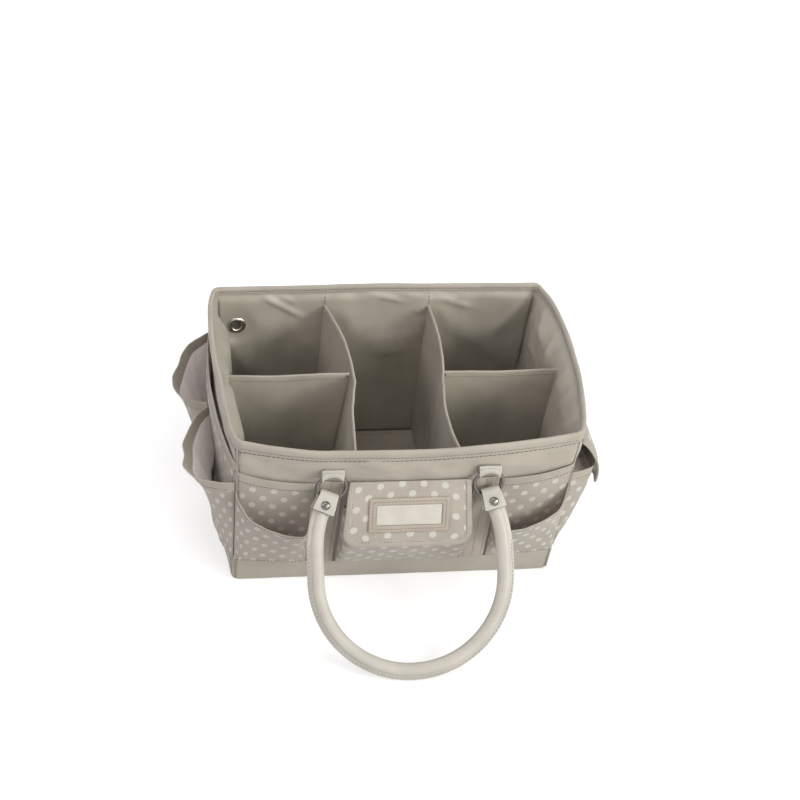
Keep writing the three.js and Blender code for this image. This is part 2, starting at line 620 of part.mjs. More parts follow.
function tabProfile() {
  const drop = wireDrop(TAB_WIDTH / 2);
  const depth = wireRoom(TAB_WIDTH / 2) + 3 * SEAT;
  const wire = RING_WIRE / 2 + SEAT;
  const low = ringTop().addScaledVector(ringDown(), drop);
  const [inner, front] = [TAB, low.x + wire + SEAT / 2];
  const crown = ringTop().y + wire;
  const middle = (inner + front) / 2;
  const fold = low.y;
  const shape = new THREE.Shape();
  shape.moveTo(0, TAB_TOP - TAB_SEAM / 2);
  shape.lineTo(0, fold);
  shape.absellipse(middle, fold, middle, depth + TAB, Math.PI, 2 * Math.PI);
  shape.lineTo(front + TAB, fold + drop / 2);
  shape.lineTo(ringTop().x + wire + TAB, crown);
  shape.lineTo(TAB_SEAM, crown + TAB);
  shape.lineTo(TAB_SEAM, TAB_TOP - TAB_SEAM / 2);
  shape.absarc(TAB_SEAM / 2, TAB_TOP - TAB_SEAM / 2, TAB_SEAM / 2, 0, Math.PI);
  const eye = new THREE.Path();
  eye.moveTo(inner, crown);
  eye.lineTo(ringTop().x + wire, crown);
  eye.lineTo(front, fold + drop / 2);
  eye.lineTo(front, fold);
  eye.absellipse(middle, fold, middle - TAB, depth, 2 * Math.PI, Math.PI, true);
  shape.holes.push(eye);
  return shape;
}

// The wrap folds round the ring's foot and down both faces of the handle's end.
function wrapProfile() {
  const foot = HANDLE_THICK / 2 + SEAT;
  const shape = new THREE.Shape();
  shape.moveTo(-foot - WRAP, -WRAP_LENGTH);
  shape.lineTo(-foot - WRAP + WRAP_FLARE, -WRAP_LENGTH / 2);
  shape.absarc(0, 0, EYE() + WRAP, Math.PI, 0, true);
  shape.lineTo(foot + WRAP - WRAP_FLARE, -WRAP_LENGTH / 2);
  shape.lineTo(foot + WRAP, -WRAP_LENGTH);
  shape.lineTo(foot, -WRAP_LENGTH);
  shape.lineTo(foot - WRAP_FLARE, -WRAP_LENGTH / 2);
  shape.absarc(0, 0, EYE(), 0, Math.PI, false);
  shape.lineTo(-foot + WRAP_FLARE, -WRAP_LENGTH / 2);
  shape.lineTo(-foot, -WRAP_LENGTH);
  return shape;
}

// The handle's middle line in its own plane: x across, y down from the ring's foot is negative.
const HANDLE_START = 7;
const HANDLE_PINCH = 0.88; // how flat its ends are squeezed inside the wraps

function handleLine() {
  const [near, wide] = [HANDLE_SPACING / 2, HANDLE_SPAN / 2];
  const line = [];
  for (let i = 0; i < LEG_STEPS; i++) {
    const down = lerp(HANDLE_START, HANDLE_SHOULDER, i / LEG_STEPS);
    const spread = Math.sin(Math.PI / 2 * Math.max(0, down - WRAP_LENGTH / 2) / (HANDLE_SHOULDER - WRAP_LENGTH / 2));
    line.push(new THREE.Vector2(-lerp(near, wide, spread), -down));
  }
  for (let i = 0; i <= BEND_STEPS; i++) {
    const turn = Math.PI * (1 + i / BEND_STEPS);
    const depth = HANDLE_DROP - HANDLE_SHOULDER;
    line.push(new THREE.Vector2(wide * Math.cos(turn), -HANDLE_SHOULDER + depth * Math.sin(turn)));
  }
  for (let i = LEG_STEPS - 1; i >= 0; i--) line.push(new THREE.Vector2(-line[i].x, line[i].y));
  return line;
}

function handleTube() {
  const line = handleLine();
  const rings = line.map((at, i) => {
    const [before, after] = [line[Math.max(0, i - 1)], line[Math.min(line.length - 1, i + 1)]];
    const along = after.clone().sub(before).normalize();
    const pinch = i === 0 || i === line.length - 1 ? HANDLE_PINCH : 1;
    return Array.from({ length: HANDLE_SIDES }, (_, k) => {
      const turn = 2 * Math.PI * (k + 0.5) / HANDLE_SIDES;
      const across = HANDLE_WIDTH / 2 * Math.cos(turn);
      const out = HANDLE_THICK / 2 * Math.sin(turn) * pinch;
      return new THREE.Vector3(at.x - across * along.y, -out, at.y + across * along.x);
    });
  });
  return loft(rings);
}

// How far the handle leans out when its far end lies on the floor that the bag stands on.
function handleLean(height) {
  let lean = 0.7;
  for (let i = 0; i < 20; i++) {
    const lowest = Math.hypot(HANDLE_WIDTH / 2 * Math.cos(lean), HANDLE_THICK / 2 * Math.sin(lean));
    lean = Math.acos((height - lowest) / HANDLE_DROP);
  }
  return lean;
}

function rivetHead() {
  const radius = RIVET_HEAD / 2;
  const points = [[0, 0], [radius * 0.9, 0], [radius, RIVET_RISE * 0.3], [radius * 0.82, RIVET_RISE * 0.75],
    [radius * 0.45, RIVET_RISE], [0, RIVET_RISE]].map(([r, h]) => new THREE.Vector2(r, h));
  return new THREE.LatheGeometry(points, 12);
}

function hangings(face, wall) {
  const side = new THREE.Group();
  if (wall === BACK) side.rotation.z = Math.PI;
  bag.add(side);
  const nearEdge = (HANDLE_SPACING - TAB_WIDTH) / 2;
  const seat = reach(wall, nearEdge, TAB_TOP) + SEAT;
  const handle = new THREE.Group();
  const { x: out, y: height } = hang();
  handle.position.set(0, -seat - out, height);
  handle.rotation.x = -handleLean(height);
  side.add(handle);
  place(face + "_handle", handleTube(), "leather", handle);

  for (const sign of [-1, 1]) {
    const name = face + "_" + (sign * (wall === BACK ? -1 : 1) < 0 ? "left" : "right");
    const x = sign * HANDLE_SPACING / 2;
    place(name + "_tab", stripOf(tabProfile(), TAB_WIDTH), "leather", side).position.set(x, -seat, 0);

    const ring = new THREE.TorusGeometry(RING_REACH, RING_WIRE / 2, WIRE_STEPS, RING_STEPS);
    const ringMesh = place(name + "_ring", ring, "chrome", side);
    ringMesh.rotation.x = Math.PI / 2 - degToRad(RING_LEAN);
    ringMesh.position.set(x, -seat - ringCentre().x, ringCentre().y);

    place(name + "_wrap", stripOf(wrapProfile(), WRAP_WIDTH), "leather", handle).position.x = x;
    const rivet = place(name + "_rivet", rivetHead(), "chrome", handle);
    rivet.position.set(x, -(HANDLE_THICK / 2 + WRAP + 2 * SEAT), -WRAP_LENGTH * 0.6);
    rivet.rotation.x = Math.PI;
  }
}

base();
walls();
rimAndBand();
dividers();
frontPockets();
middlePocket();
frontFlap();
straps();
leftPockets();
rightPockets();
backPockets();
eyelet();
hangings("front", FRONT);
hangings("back", BACK);

export default bag;
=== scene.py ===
import math

import bpy
from bpy.props import FloatProperty, FloatVectorProperty, PointerProperty
from mathutils import Matrix, Vector, noise


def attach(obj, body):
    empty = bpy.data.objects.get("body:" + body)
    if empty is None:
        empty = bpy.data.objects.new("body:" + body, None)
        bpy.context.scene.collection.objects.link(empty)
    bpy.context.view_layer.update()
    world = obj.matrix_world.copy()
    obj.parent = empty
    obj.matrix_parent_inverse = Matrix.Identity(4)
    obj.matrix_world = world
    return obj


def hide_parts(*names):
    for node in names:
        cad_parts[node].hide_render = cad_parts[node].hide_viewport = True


bl_info = {
    "name": "Craft organizer bag",
    "version": (1, 0, 0),
    "blender": (4, 5, 0),
    "location": "3D View > Sidebar > Organizer Bag",
    "description": "Cloth, leather, metal, light and camera of an open craft organizer bag",
    "category": "Object",
}

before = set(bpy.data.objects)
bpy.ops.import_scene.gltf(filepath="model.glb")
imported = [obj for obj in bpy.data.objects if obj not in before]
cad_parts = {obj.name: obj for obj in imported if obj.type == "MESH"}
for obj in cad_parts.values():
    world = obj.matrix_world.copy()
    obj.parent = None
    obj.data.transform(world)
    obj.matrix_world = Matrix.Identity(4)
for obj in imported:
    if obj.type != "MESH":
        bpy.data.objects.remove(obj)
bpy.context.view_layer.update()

# Millimetres are drawn, metres are built
MM = 0.001

# Bag body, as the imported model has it
RIM_WIDTH = 370
RIM_DEPTH = 252
HEIGHT = 212
BASE_WIDTH = 350
BASE_DEPTH = 236
BAND_HEIGHT = 33
BOW_LOW = 0.4
FABRIC = 1.2
WELT = 1.05
LINING_OUT = -4.6
LINING_TOP = 209
SEWN = 33.3
SEWN_ON = 1.8
END_PRESS = 0.55
POCKET_MARGIN = 1.5
SIDE_HEM = 12
HEM_STITCH = 10.5
FOOT_STITCH = 2.0

# The walls' unevenness: bumps near the rim, and a swelling near the foot
LUMP_WIDTH = 9
LUMP_LOW = 168
LUMP_HIGH = 210
SWELL_HEIGHT = 36
SWELL_SPREAD = 26

# Boards in the walls and on the bottom
BOARD = 1.9
BOARD_OUT = -1.5
BOARD_FOOT = 2
BOARD_TOP = 191
BOARD_SHORT = 7
FLOOR_HALF_X = 169.6
FLOOR_HALF_Y = 112.6
FLOOR_TOP = 4.3
FLOOR_STITCH = 9

# Straps, tabs and rings
STRAP_WIDTH = 28
STRAP_TOP = 164
STRAP_OUT = 2.1
STRAP_ROWS = (0.14, 0.5, 0.86)
HANDLE_SPACING = 168
TAB_WIDTH = 24.5
TAB = 1.3
TAB_TOP = 184.5
TAB_LOOP = 2.55
RING_REACH = 15.25
RING_WIRE = 3.5
RING_LEAN = math.radians(10)
RING_TOP = 178.5
RING_OUT = 3.35
FRONT_SEAT = 142.188
BACK_SEAT = 127.570

# Handles
HANDLE_HINGE_OUT = 8.171
HANDLE_HINGE_UP = 151.154
HANDLE_LEAN = math.radians(40.227)
HANDLE_DROP = 187
HANDLE_SPAN = 204
HANDLE_SHOULDER = 87
HANDLE_START = 7
WRAP_WIDTH = 22
WRAP = 1.3
WRAP_LENGTH = 16
WRAP_EYE = 5.43
WRAP_FOOT = 7.45
RIVET_DOWN = 9.6

# How far each end of a handle has swung sideways about its ring, in degrees, outward
END_SWING = {"front_left": 23, "front_right": 14, "back_left": 6, "back_right": 8}
SWING_PIVOT = -5
END_SHIFT = 1.6

# Flap and middle pocket
FLAP_SEAT = 143.172
FLAP_TOP = 166
FLAP_TILT = math.radians(18.5)
FLAP_HALF = 65.5
FLAP_SPLAY = 4.5
FLAP_LENGTH = 77
FLAP_CORNER = 17
FLAP_EDGE = 7.5
LABEL_DROP = 39
LABEL_OUT = 3.3
LABEL_HALF_X = 35.5
LABEL_HALF_Y = 12
LABEL_STITCH = 4
PATCH_HALF = 32
PATCH_FOOT = 62
PATCH_TOP = 46
POUCH_HALF = 67.5
POUCH_TOP = 124
POUCH_BULGE = 91
CLOSURE_ROOM = 3.058

# Dividers
DIVIDER = 3.0
DIVIDER_TOP = 187
DIVIDER_FOOT = 4.8
DIVIDER_EDGE = 59
DIVIDER_HEM = 0.962
DIVIDER_GAP = 5.1
CROSS_LEAN = 6.5
DIVIDER_BELLY = {"left": 15, "right": 3.5}
DIVIDER_SWAY = {"left": -4.5, "right": 6}

# Side and back pockets
TALL_TOP = 178
BELLOWS_TOP = 150
RIGHT_REAR_TOP = 158
BACK_TOP = 140
BACK_MIDDLE_HALF = 68.5
MIDDLE_GAP = 1.5
BELLOWS_SHAPE = {
    "rear": [(0, 0), (0.1, 0.6), (0.19, 0.82), (0.31, 1), (0.43, 0.97), (0.6, 0.8), (0.73, 0.77),
             (0.89, 0.55), (1, 0)],
    "front": [(0, 0), (0.1, 0.3), (0.26, 0.56), (0.45, 0.78), (0.59, 0.82), (0.71, 1), (0.88, 0.8),
              (0.96, 0.55), (1, 0)],
}
BELLOWS_FLARE = {"rear": 13, "front": 20}
FLAP_POCKET_TOP = 150
FLAP_POCKET_SHAPE = [(0, 0), (0.15, 0.17), (0.49, 0.46), (0.74, 0.81), (0.86, 1), (0.95, 0.85), (1, 0.3)]
FLAP_PEAK = 0.86
SIDE_FLAP_FOOT = 122
SIDE_FLAP_TOP = 189
SIDE_FLAP_WIDTH = 108
SIDE_FLAP_CORNER = 9

# Eyelet in the back wall
EYELET_X = -156.5
EYELET_Z = 160
EYELET_HOLE = 6.2

SIDES = (("left", -1), ("right", 1))


# What a user may change
def measure(name, description, default, low, high):
    return FloatProperty(name=name, description=description, default=default, min=low, max=high,
                         unit="LENGTH")


class OrganizerBagSizes(bpy.types.PropertyGroup):
    """Sizes of the cloth work, in metres"""
    corner: measure("Corner radius", "Rounding of the bag's upright corners", 0.006, 0.006, 0.02)
    hem: measure("Hem depth", "Depth of the plain hem on the flat pockets", 0.0125, 0.006, 0.02)
    dot: measure("Dot size", "Diameter of the printed dots", 0.0075, 0.002, 0.02)
    dot_spacing: measure("Dot spacing", "Distance between dots of one row", 0.023, 0.006, 0.06)
    dot_row: measure("Dot row", "Distance between rows of dots", 0.0118, 0.004, 0.06)
    weave: measure("Weave pitch", "Distance between threads of the cloth", 0.0007, 0.0003, 0.002)
    stitch: measure("Stitch length", "Length of one visible stitch", 0.0026, 0.001, 0.006)
    stitch_gap: measure("Stitch gap", "Gap between two stitches", 0.0011, 0.0003, 0.004)
    thread: measure("Thread", "Width of the sewing thread", 0.0009, 0.0003, 0.002)


def tint(name, description, colour):
    return FloatVectorProperty(name=name, description=description, default=colour, size=3, min=0, max=1,
                               subtype="COLOR_GAMMA")


class OrganizerBagColours(bpy.types.PropertyGroup):
    """Colours of the cloths and trims, as they look on a screen"""
    plain: tint("Plain cloth", "Body, bottom band and straps", (0.712, 0.677, 0.628))
    dotted: tint("Dotted cloth", "Ground of the dotted pockets and the flap", (0.690, 0.656, 0.614))
    dots: tint("Dots", "Printed dots", (0.805, 0.798, 0.770))
    # The facing is the paler inner side of the cloth, lightened further as painted light that stands in for
    # light shining through the cloth
    facing: tint("Facing", "Inner side of the pockets", (0.930, 0.893, 0.882))
    lining: tint("Lining", "Satin lining and dividers", (0.645, 0.620, 0.572))
    floor: tint("Floor cloth", "Cloth over the bottom board", (0.630, 0.595, 0.545))
    binding: tint("Binding", "Rim, hems and edges", (0.690, 0.658, 0.612))
    leather: tint("Leather", "Handles, tabs and wraps", (0.725, 0.704, 0.668))
    label: tint("Label frame", "Leather frame on the flap", (0.665, 0.622, 0.570))
    plate: tint("Label plate", "Bare plate inside the frame", (0.775, 0.752, 0.712))
    thread: tint("Thread", "Sewing thread of the hems", (0.470, 0.435, 0.385))
    seam: tint("Seam thread", "Thread of the dark seams", (0.330, 0.300, 0.265))
    nickel: tint("Nickel", "Rings, rivets and eyelet", (0.470, 0.460, 0.440))
    board: tint("Board", "Stiff boards inside the walls", (0.300, 0.275, 0.245))
    fastener: tint("Fastener", "Hook and loop patches", (0.680, 0.650, 0.600))


class OrganizerBagStage(bpy.types.PropertyGroup):
    """Light and background"""
    key: FloatProperty(name="Key light", description="Power of the large lamp over the front",
                       default=21, min=0, max=200, unit="POWER")
    side: FloatProperty(name="Side light", description="Power of the lamps beside the bag",
                        default=24, min=0, max=200, unit="POWER")
    fill: FloatProperty(name="Fill", description="Strength of the light from all around",
                        default=0.55, min=0, max=2)


def sizes():
    return bpy.context.scene.organizer_bag_sizes


def colours():
    return bpy.context.scene.organizer_bag_colours


# Small sums
def lerp(a, b, share):
    return a + (b - a) * share


def clamp(value, low=0.0, high=1.0):
    return max(low, min(high, value))


def smooth(value, low, high):
    share = clamp((value - low) / (high - low))
    return share * share * (3 - 2 * share)


def follow(rows, at):
    """The value at a place along a table of (place, value), in straight lines between its rows."""
    if at <= rows[0][0]:
        return rows[0][1]
    for (a, low), (b, high) in zip(rows, rows[1:]):
        if at <= b:
            return lerp(low, high, (at - a) / (b - a))
    return rows[-1][1]


def soft_follow(rows, at, width):
    """The same, averaged over a width so that its kinks are rounded."""
    steps = (-1, -0.6, -0.2, 0.2, 0.6, 1)
    return sum(follow(rows, at + width * step) for step in steps) / len(steps)


def ripple(seed, across, up, size):
    """A soft random height between -1 and 1 that is the same on every run."""
    return noise.noise(Vector((across / size, up / size, seed * 7.31)))


def swell(u):
    """A full curve from 0 at both ends to 1 in the middle."""
    return math.sin(math.pi * u) ** 0.75 if 0 < u < 1 else 0.0


def half_width(z, crosswise):
    """Half of the bag's width at a height, or else of its depth."""
    foot, rim = (BASE_WIDTH, RIM_WIDTH) if crosswise else (BASE_DEPTH, RIM_DEPTH)
    return lerp(foot, rim, z / HEIGHT) / 2


# The bag's walls
class Wall:
    """A wall that leans out, bows and is a little uneven. start keeps its random heights its own."""

    def __init__(self, name, crosswise, sign, sense, bow, start, lumps, swelling=0):
        self.name = name
        self.crosswise = crosswise
        self.sign = sign
        self.sense = sense
        self.bow = bow
        self.start = start
        self.lumps = lumps
        self.swelling = swelling

    def run(self, z):
        """Half of its own width."""
        return half_width(z, self.crosswise)

    def stand(self, z):
        """How far its ends are from the bag's middle."""
        return half_width(z, not self.crosswise)

    def end(self, z):
        """How far along it its half of a rounded corner ends, measured on the cloth."""
        return self.run(z) - corner() * (1 - math.pi / 4)

    def reach(self, along, z):
        """How far out its outer face is at a place along it and a height."""
        if z < BAND_HEIGHT:
            rise = BOW_LOW * z / BAND_HEIGHT
        else:
            rise = lerp(BOW_LOW, 1, (z - BAND_HEIGHT) / (HEIGHT - BAND_HEIGHT))
        share = min(1, abs(along) / self.end(z))
        lump = soft_follow(self.lumps, along, LUMP_WIDTH) * smooth(z, LUMP_LOW, LUMP_HIGH)
        swollen = self.swelling * math.exp(-((z - SWELL_HEIGHT) / SWELL_SPREAD) ** 2) * (1 - share ** 6)
        return self.stand(z) + self.bow * (1 - share ** 2) * rise + lump + swollen


def corner():
    return sizes().corner / MM


WALLS = {wall.name: wall for wall in (
    Wall("front", True, -1, 1, 22, 0, [(-182, 0), (-155, 2.6), (-125, 4.4), (-101, 4.8), (-80, 2.2),
                                       (-40, 0.4), (-5, 0), (69, -0.9), (90, -0.8), (128, -0.4), (182, 0)]),
    Wall("right", False, 1, 1, 17, 368, [(-123, 0), (-110, 1.6), (-60, 0.3), (0, 0), (29, 0.9), (52, 1.9),
                                         (77, 2.4), (102, 2.7), (123, 0)]),
    Wall("back", True, 1, -1, 3, 980, [(-182, 0), (-120, -0.5), (-59, -1.2), (0, 0.3), (59, -1.2),
                                       (120, -0.4), (182, 0)]),
    Wall("left", False, -1, -1, 11, 1470, [(-123, 0), (-112, 2.6), (-71, 0.5), (-17, -1.8), (-4, 0.4),
                                           (9, 0.2), (54, 1.7), (107, 3.2), (123, 0)], swelling=8),
)}


def beside(wall, along, out, z):
    """A point beside a wall: along it, out from its outer face, and up. It goes round the corners."""
    straight = wall.run(z) - corner()
    side = abs(along)
    away = out
    if side > straight:
        turn = (side - straight) / corner()
        side = straight + (corner() + out) * math.sin(turn)
        away = (corner() + out) * math.cos(turn) - corner()
    away += wall.reach(along, z)
    side = math.copysign(side, along)
    if wall.crosswise:
        return Vector((side, wall.sign * away, z))
    return Vector((wall.sign * away, side, z))


CORNER_STEPS = 3


def wall_stations(steps):
    """Places along a wall: from -1 to 1 on its straight part, and out to 2 at the corners' middles."""
    ends = [1 + (i + 1) / CORNER_STEPS for i in range(CORNER_STEPS)]
    straight = [lerp(-1, 1, i / steps) for i in range(steps + 1)]
    return [-end for end in reversed(ends)] + straight + ends


def along_at(wall, station, z):
    straight = (wall.run(z) - corner()) * clamp(station, -1, 1)
    past = clamp(abs(station) - 1) * corner() * math.pi / 4
    return straight + math.copysign(past, station)


def around_stations(crosswise_steps, lengthwise_steps):
    """One turn round the bag: (wall, station) for every column, the first one again at the end."""
    turn = []
    for wall in WALLS.values():
        steps = crosswise_steps if wall.crosswise else lengthwise_steps
        stations = wall_stations(steps)
        turn += [(wall, wall.sense * station) for station in stations[:-1]]
    return turn + [turn[0]]


# Meshes
def pick(piece=None):
    """Select one piece alone, or nothing."""
    bpy.ops.object.select_all(action="DESELECT")
    if piece:
        piece.select_set(True)
        bpy.context.view_layer.objects.active = piece


def discard(piece):
    """Remove a helper together with its mesh."""
    mesh = piece.data
    bpy.data.objects.remove(piece)
    bpy.data.meshes.remove(mesh)


def grid(name, columns, rows, place, lip=1.0, offset=(0.0, 0.0)):
    """Add a grid and move each point to place(column, row). Its UV map is the cloth laid flat, in metres."""
    pick()
    bpy.ops.mesh.primitive_grid_add(x_subdivisions=columns, y_subdivisions=rows, size=1)
    piece = bpy.context.object
    piece.name = name
    mesh = piece.data
    mesh.name = name
    points = [[place(i, j) for j in range(rows + 1)] for i in range(columns + 1)]
    ups = [[0.0] for _ in points]
    for i, column in enumerate(points):
        for a, b in zip(column, column[1:]):
            ups[i].append(ups[i][-1] + (b - a).length)
    guide = round(lip * rows)
    across = [0.0]
    for a, b in zip(points, points[1:]):
        across.append(across[-1] + (b[guide] - a[guide]).length)
    index = [(round((v.co.x + 0.5) * columns), round((v.co.y + 0.5) * rows)) for v in mesh.vertices]
    flat = mesh.uv_layers.active.data
    for loop in mesh.loops:
        i, j = index[loop.vertex_index]
        flat[loop.index].uv = (across[i] * MM + offset[0], ups[i][j] * MM + offset[1])
    for vertex, (i, j) in zip(mesh.vertices, index):
        vertex.co = points[i][j] * MM
    mesh.update()
    return piece


def modify(piece, kind, **settings):
    """Add a modifier, set it and apply it."""
    pick(piece)
    bpy.ops.object.modifier_add(type=kind)
    modifier = piece.modifiers[-1]
    for key, value in settings.items():
        setattr(modifier, key, value)
    bpy.ops.object.modifier_apply(modifier=modifier.name)


def edit(piece, *steps):
    """Run mesh operators on all of a piece, each a function."""
    pick(piece)
    bpy.ops.object.mode_set(mode="EDIT")
    bpy.ops.mesh.select_all(action="SELECT")
    for step in steps:
        step()
    bpy.ops.object.mode_set(mode="OBJECT")


def weld():
    bpy.ops.mesh.select_all(action="SELECT")
    bpy.ops.mesh.remove_doubles(threshold=1e-6)


def close_ends():
    bpy.ops.mesh.select_all(action="SELECT")
    bpy.ops.mesh.fill_holes(sides=0)


def outward():
    bpy.ops.mesh.select_all(action="SELECT")
    bpy.ops.mesh.normals_make_consistent(inside=False)


def round_off(piece, levels=1):
    modify(piece, "SUBSURF", levels=levels, render_levels=levels)


def ease_edges(piece, width):
    """Round a piece's sharp edges."""
    modify(piece, "BEVEL", width=width, segments=2, limit_method="ANGLE", angle_limit=0.9)


def thicken(piece, thickness, offset=-1.0, inside=0, rim=0):
    """Give a sheet its thickness inward. The inner side and the rim take the material so many slots on."""
    modify(piece, "SOLIDIFY", thickness=thickness * MM, offset=offset, use_even_offset=False,
           material_offset=inside, material_offset_rim=rim)


def wear(piece, *materials):
    for material in materials:
        piece.data.materials.append(finish(material))


def dress(piece, body, slot, *materials, replaces=()):
    """Give a piece its materials and its body, and hide the nodes it stands for. The slot is not used."""
    wear(piece, *materials)
    piece.data.shade_smooth()
    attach(piece, body)
    if replaces:
        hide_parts(*replaces)
    return piece


def mark(piece, columns, picked):
    """Give a grid's faces the second material where picked(column, row) says so."""
    for face in piece.data.polygons:
        row, column = divmod(face.index, columns)
        if picked(column, row):
            face.material_index = 1


def loop_piece(name, stations, section, rows):
    """A closed turn round the bag. section(row) gives how far out and how high each row lies."""
    def place(i, j):
        wall, station = stations[i]
        out, z = section(j, wall, station)
        return beside(wall, along_at(wall, station, z), out, z)

    piece = grid(name, len(stations) - 1, rows, place)
    edit(piece, weld)
    return piece


def sweep(name, path, section):
    """A closed skin along a path: section(i) gives the ring of points at each place."""
    rings = [section(i) for i in range(len(path))]
    rows = len(rings[0])

    def place(i, j):
        return rings[i][j % rows]

    piece = grid(name, len(path) - 1, rows, place, lip=0)
    edit(piece, weld, close_ends, outward)
    return piece


# Sewing: how far a stitch strays to its side, and how flat its thread lies
STITCH_WANDER = 0.12
THREAD_FLAT = 0.8


def stitch_shape():
    """One stitch, modelled once: a thread's short arch."""
    pick()
    bpy.ops.mesh.primitive_uv_sphere_add(segments=6, ring_count=4, radius=0.5, rotation=(0, math.pi / 2, 0))
    bpy.ops.object.transform_apply(location=True, rotation=True, scale=True)
    shape = bpy.context.object
    points = [v.co.copy() for v in shape.data.vertices]
    faces = [tuple(face.vertices) for face in shape.data.polygons]
    discard(shape)
    return points, faces


def sew(name, rows, body, slot, thread="thread", length=None, lift=0.12):
    """Rows of stitches as one piece. A row is (at, steps): at(share, rise) gives the point on the cloth."""
    points, faces = stitch_shape()
    length = length or sizes().stitch / MM
    pitch = length + sizes().stitch_gap / MM
    width = sizes().thread / MM
    vertices = []
    skins = []
    for at, steps in rows:
        track = [(at(i / steps, 0), at(i / steps, 1)) for i in range(steps + 1)]
        run = [0.0]
        for (a, _), (b, _) in zip(track, track[1:]):
            run.append(run[-1] + (b - a).length)
        count = max(1, int(run[-1] / pitch))
        spot = 0
        for k in range(count):
            middle = (k + 0.5) * run[-1] / count
            while run[spot + 1] < middle:
                spot += 1
            share = (middle - run[spot]) / max(1e-9, run[spot + 1] - run[spot])
            here = track[spot][0].lerp(track[spot + 1][0], share)
            along = (track[spot + 1][0] - track[spot][0]).normalized()
            up = track[spot][1].lerp(track[spot + 1][1], share) - here
            out = along.cross(up).normalized()
            side = out.cross(along)
            wander = STITCH_WANDER * math.sin(5.1 * k + spot)
            first = len(vertices)
            for p in points:
                spread = along * (p.x * length) + side * (p.y * width + wander)
                spread += out * (p.z * width * THREAD_FLAT + lift)
                vertices.append((here + spread) * MM)
            skins += [tuple(first + v for v in face) for face in faces]
    mesh = bpy.data.meshes.new(name)
    mesh.from_pydata(vertices, [], skins)
    mesh.uv_layers.new(name="UVMap")
    piece = bpy.data.objects.new(name, mesh)
    bpy.context.scene.collection.objects.link(piece)
    return dress(piece, body, slot, thread)


def frame_rows(half_x, half_y, steps, place):
    """Four rows of stitches along the sides of a rectangle. place(x, y) gives the point on the cloth."""
    corners = [(-half_x, -half_y), (half_x, -half_y), (half_x, half_y), (-half_x, half_y)]
    rows = []
    for (x0, y0), (x1, y1) in zip(corners, corners[1:] + corners[:1]):
        def at(t, rise, x0=x0, y0=y0, x1=x1, y1=y1):
            inward = Vector((y0 - y1, x1 - x0)).normalized() * rise
            return place(lerp(x0, x1, t) + inward.x, lerp(y0, y1, t) + inward.y)
        rows.append((at, steps))
    return rows


# Materials
class Nodes:
    """The nodes of a material or of the world, put together in order."""

    def __init__(self, tree):
        self.tree = tree

    def node(self, kind, sockets=None, **settings):
        node = self.tree.nodes.new("ShaderNode" + kind)
        for key, value in settings.items():
            setattr(node, key, value)
        for key, value in (sockets or {}).items():
            self.put(node.inputs[key], value)
        return node

    def put(self, socket, value):
        if isinstance(value, bpy.types.NodeSocket):
            self.tree.links.new(value, socket)
        else:
            socket.default_value = value

    def sum(self, operation, *values):
        node = self.node("Math", operation=operation)
        for socket, value in zip(node.inputs, values):
            self.put(socket, value)
        return node.outputs[0]

    def mix(self, share, a, b):
        node = self.node("Mix", data_type="RGBA")
        self.put(node.inputs[0], share)
        self.put(node.inputs[6], a)
        self.put(node.inputs[7], b)
        return node.outputs[2]

    def ramp(self, value, low, high, start=0.0, end=1.0):
        node = self.node("MapRange", {"Value": value, "From Min": low, "From Max": high, "To Min": start,
                                      "To Max": end}, interpolation_type="SMOOTHSTEP")
        return node.outputs["Result"]

    def seen(self):
        """1 for what the camera, metal or glass looks straight at, 0 for the light that falls on the bag."""
        path = self.node("LightPath")
        seen = self.sum("MAXIMUM", path.outputs["Is Camera Ray"], path.outputs["Is Glossy Ray"])
        return self.sum("MAXIMUM", seen, path.outputs["Is Transmission Ray"])


class Recipe(Nodes):
    """A node material of its own name."""

    def __init__(self, name):
        self.material = bpy.data.materials.new(name + "_finish")
        self.material.use_nodes = True
        super().__init__(self.material.node_tree)
        self.shader = self.tree.nodes["Principled BSDF"]
        self.where = self.node("TexCoord")

    def cloud(self, scale, detail=3.0, rough=0.55, place=None):
        place = place or self.where.outputs["Object"]
        return self.node("TexNoise", {"Vector": place, "Scale": scale, "Detail": detail,
                                      "Roughness": rough}).outputs[0]

    def streaks(self, scale, detail, rough):
        """A cloud drawn out along the axis whose scale is the smallest."""
        drawn = self.node("Mapping", {"Vector": self.where.outputs["Object"], "Scale": scale})
        return self.cloud(1.0, detail, rough, drawn.outputs[0])

    def bump(self, height, distance, strength=1.0, normal=None):
        node = self.node("Bump", {"Height": height, "Distance": distance, "Strength": strength})
        if normal is not None:
            self.put(node.inputs["Normal"], normal)
        return node.outputs[0]

    def set(self, **values):
        for key, value in values.items():
            self.put(self.shader.inputs[key.replace("_", " ")], value)


def linear(colour, factor=1.0):
    """A screen colour as the shader wants it, lighter or darker by a factor."""
    channels = [((c + 0.055) / 1.055) ** 2.4 if c > 0.04045 else c / 12.92 for c in colour]
    return (*[min(1.0, c * factor) for c in channels], 1.0)


WAVE_TURN = math.pi / 10


def weave(recipe, pitch):
    """The cloth's threads, up and across, as a height from 0 to 1."""
    flat = recipe.where.outputs["UV"]
    bent = recipe.node("TexNoise", {"Vector": flat, "Scale": 90.0, "Detail": 1.0})
    nudge = recipe.node("VectorMath", {0: bent.outputs["Color"], 1: (0.5, 0.5, 0.5)}, operation="SUBTRACT")
    small = recipe.node("VectorMath", {0: nudge.outputs[0], "Scale": pitch * 0.9}, operation="SCALE")
    place = recipe.node("VectorMath", {0: flat, 1: small.outputs[0]}, operation="ADD").outputs[0]
    threads = [recipe.node("TexWave", {"Vector": place, "Scale": WAVE_TURN / pitch}, bands_direction=way)
               for way in ("X", "Y")]
    return recipe.sum("MAXIMUM", threads[0].outputs[1], threads[1].outputs[1])


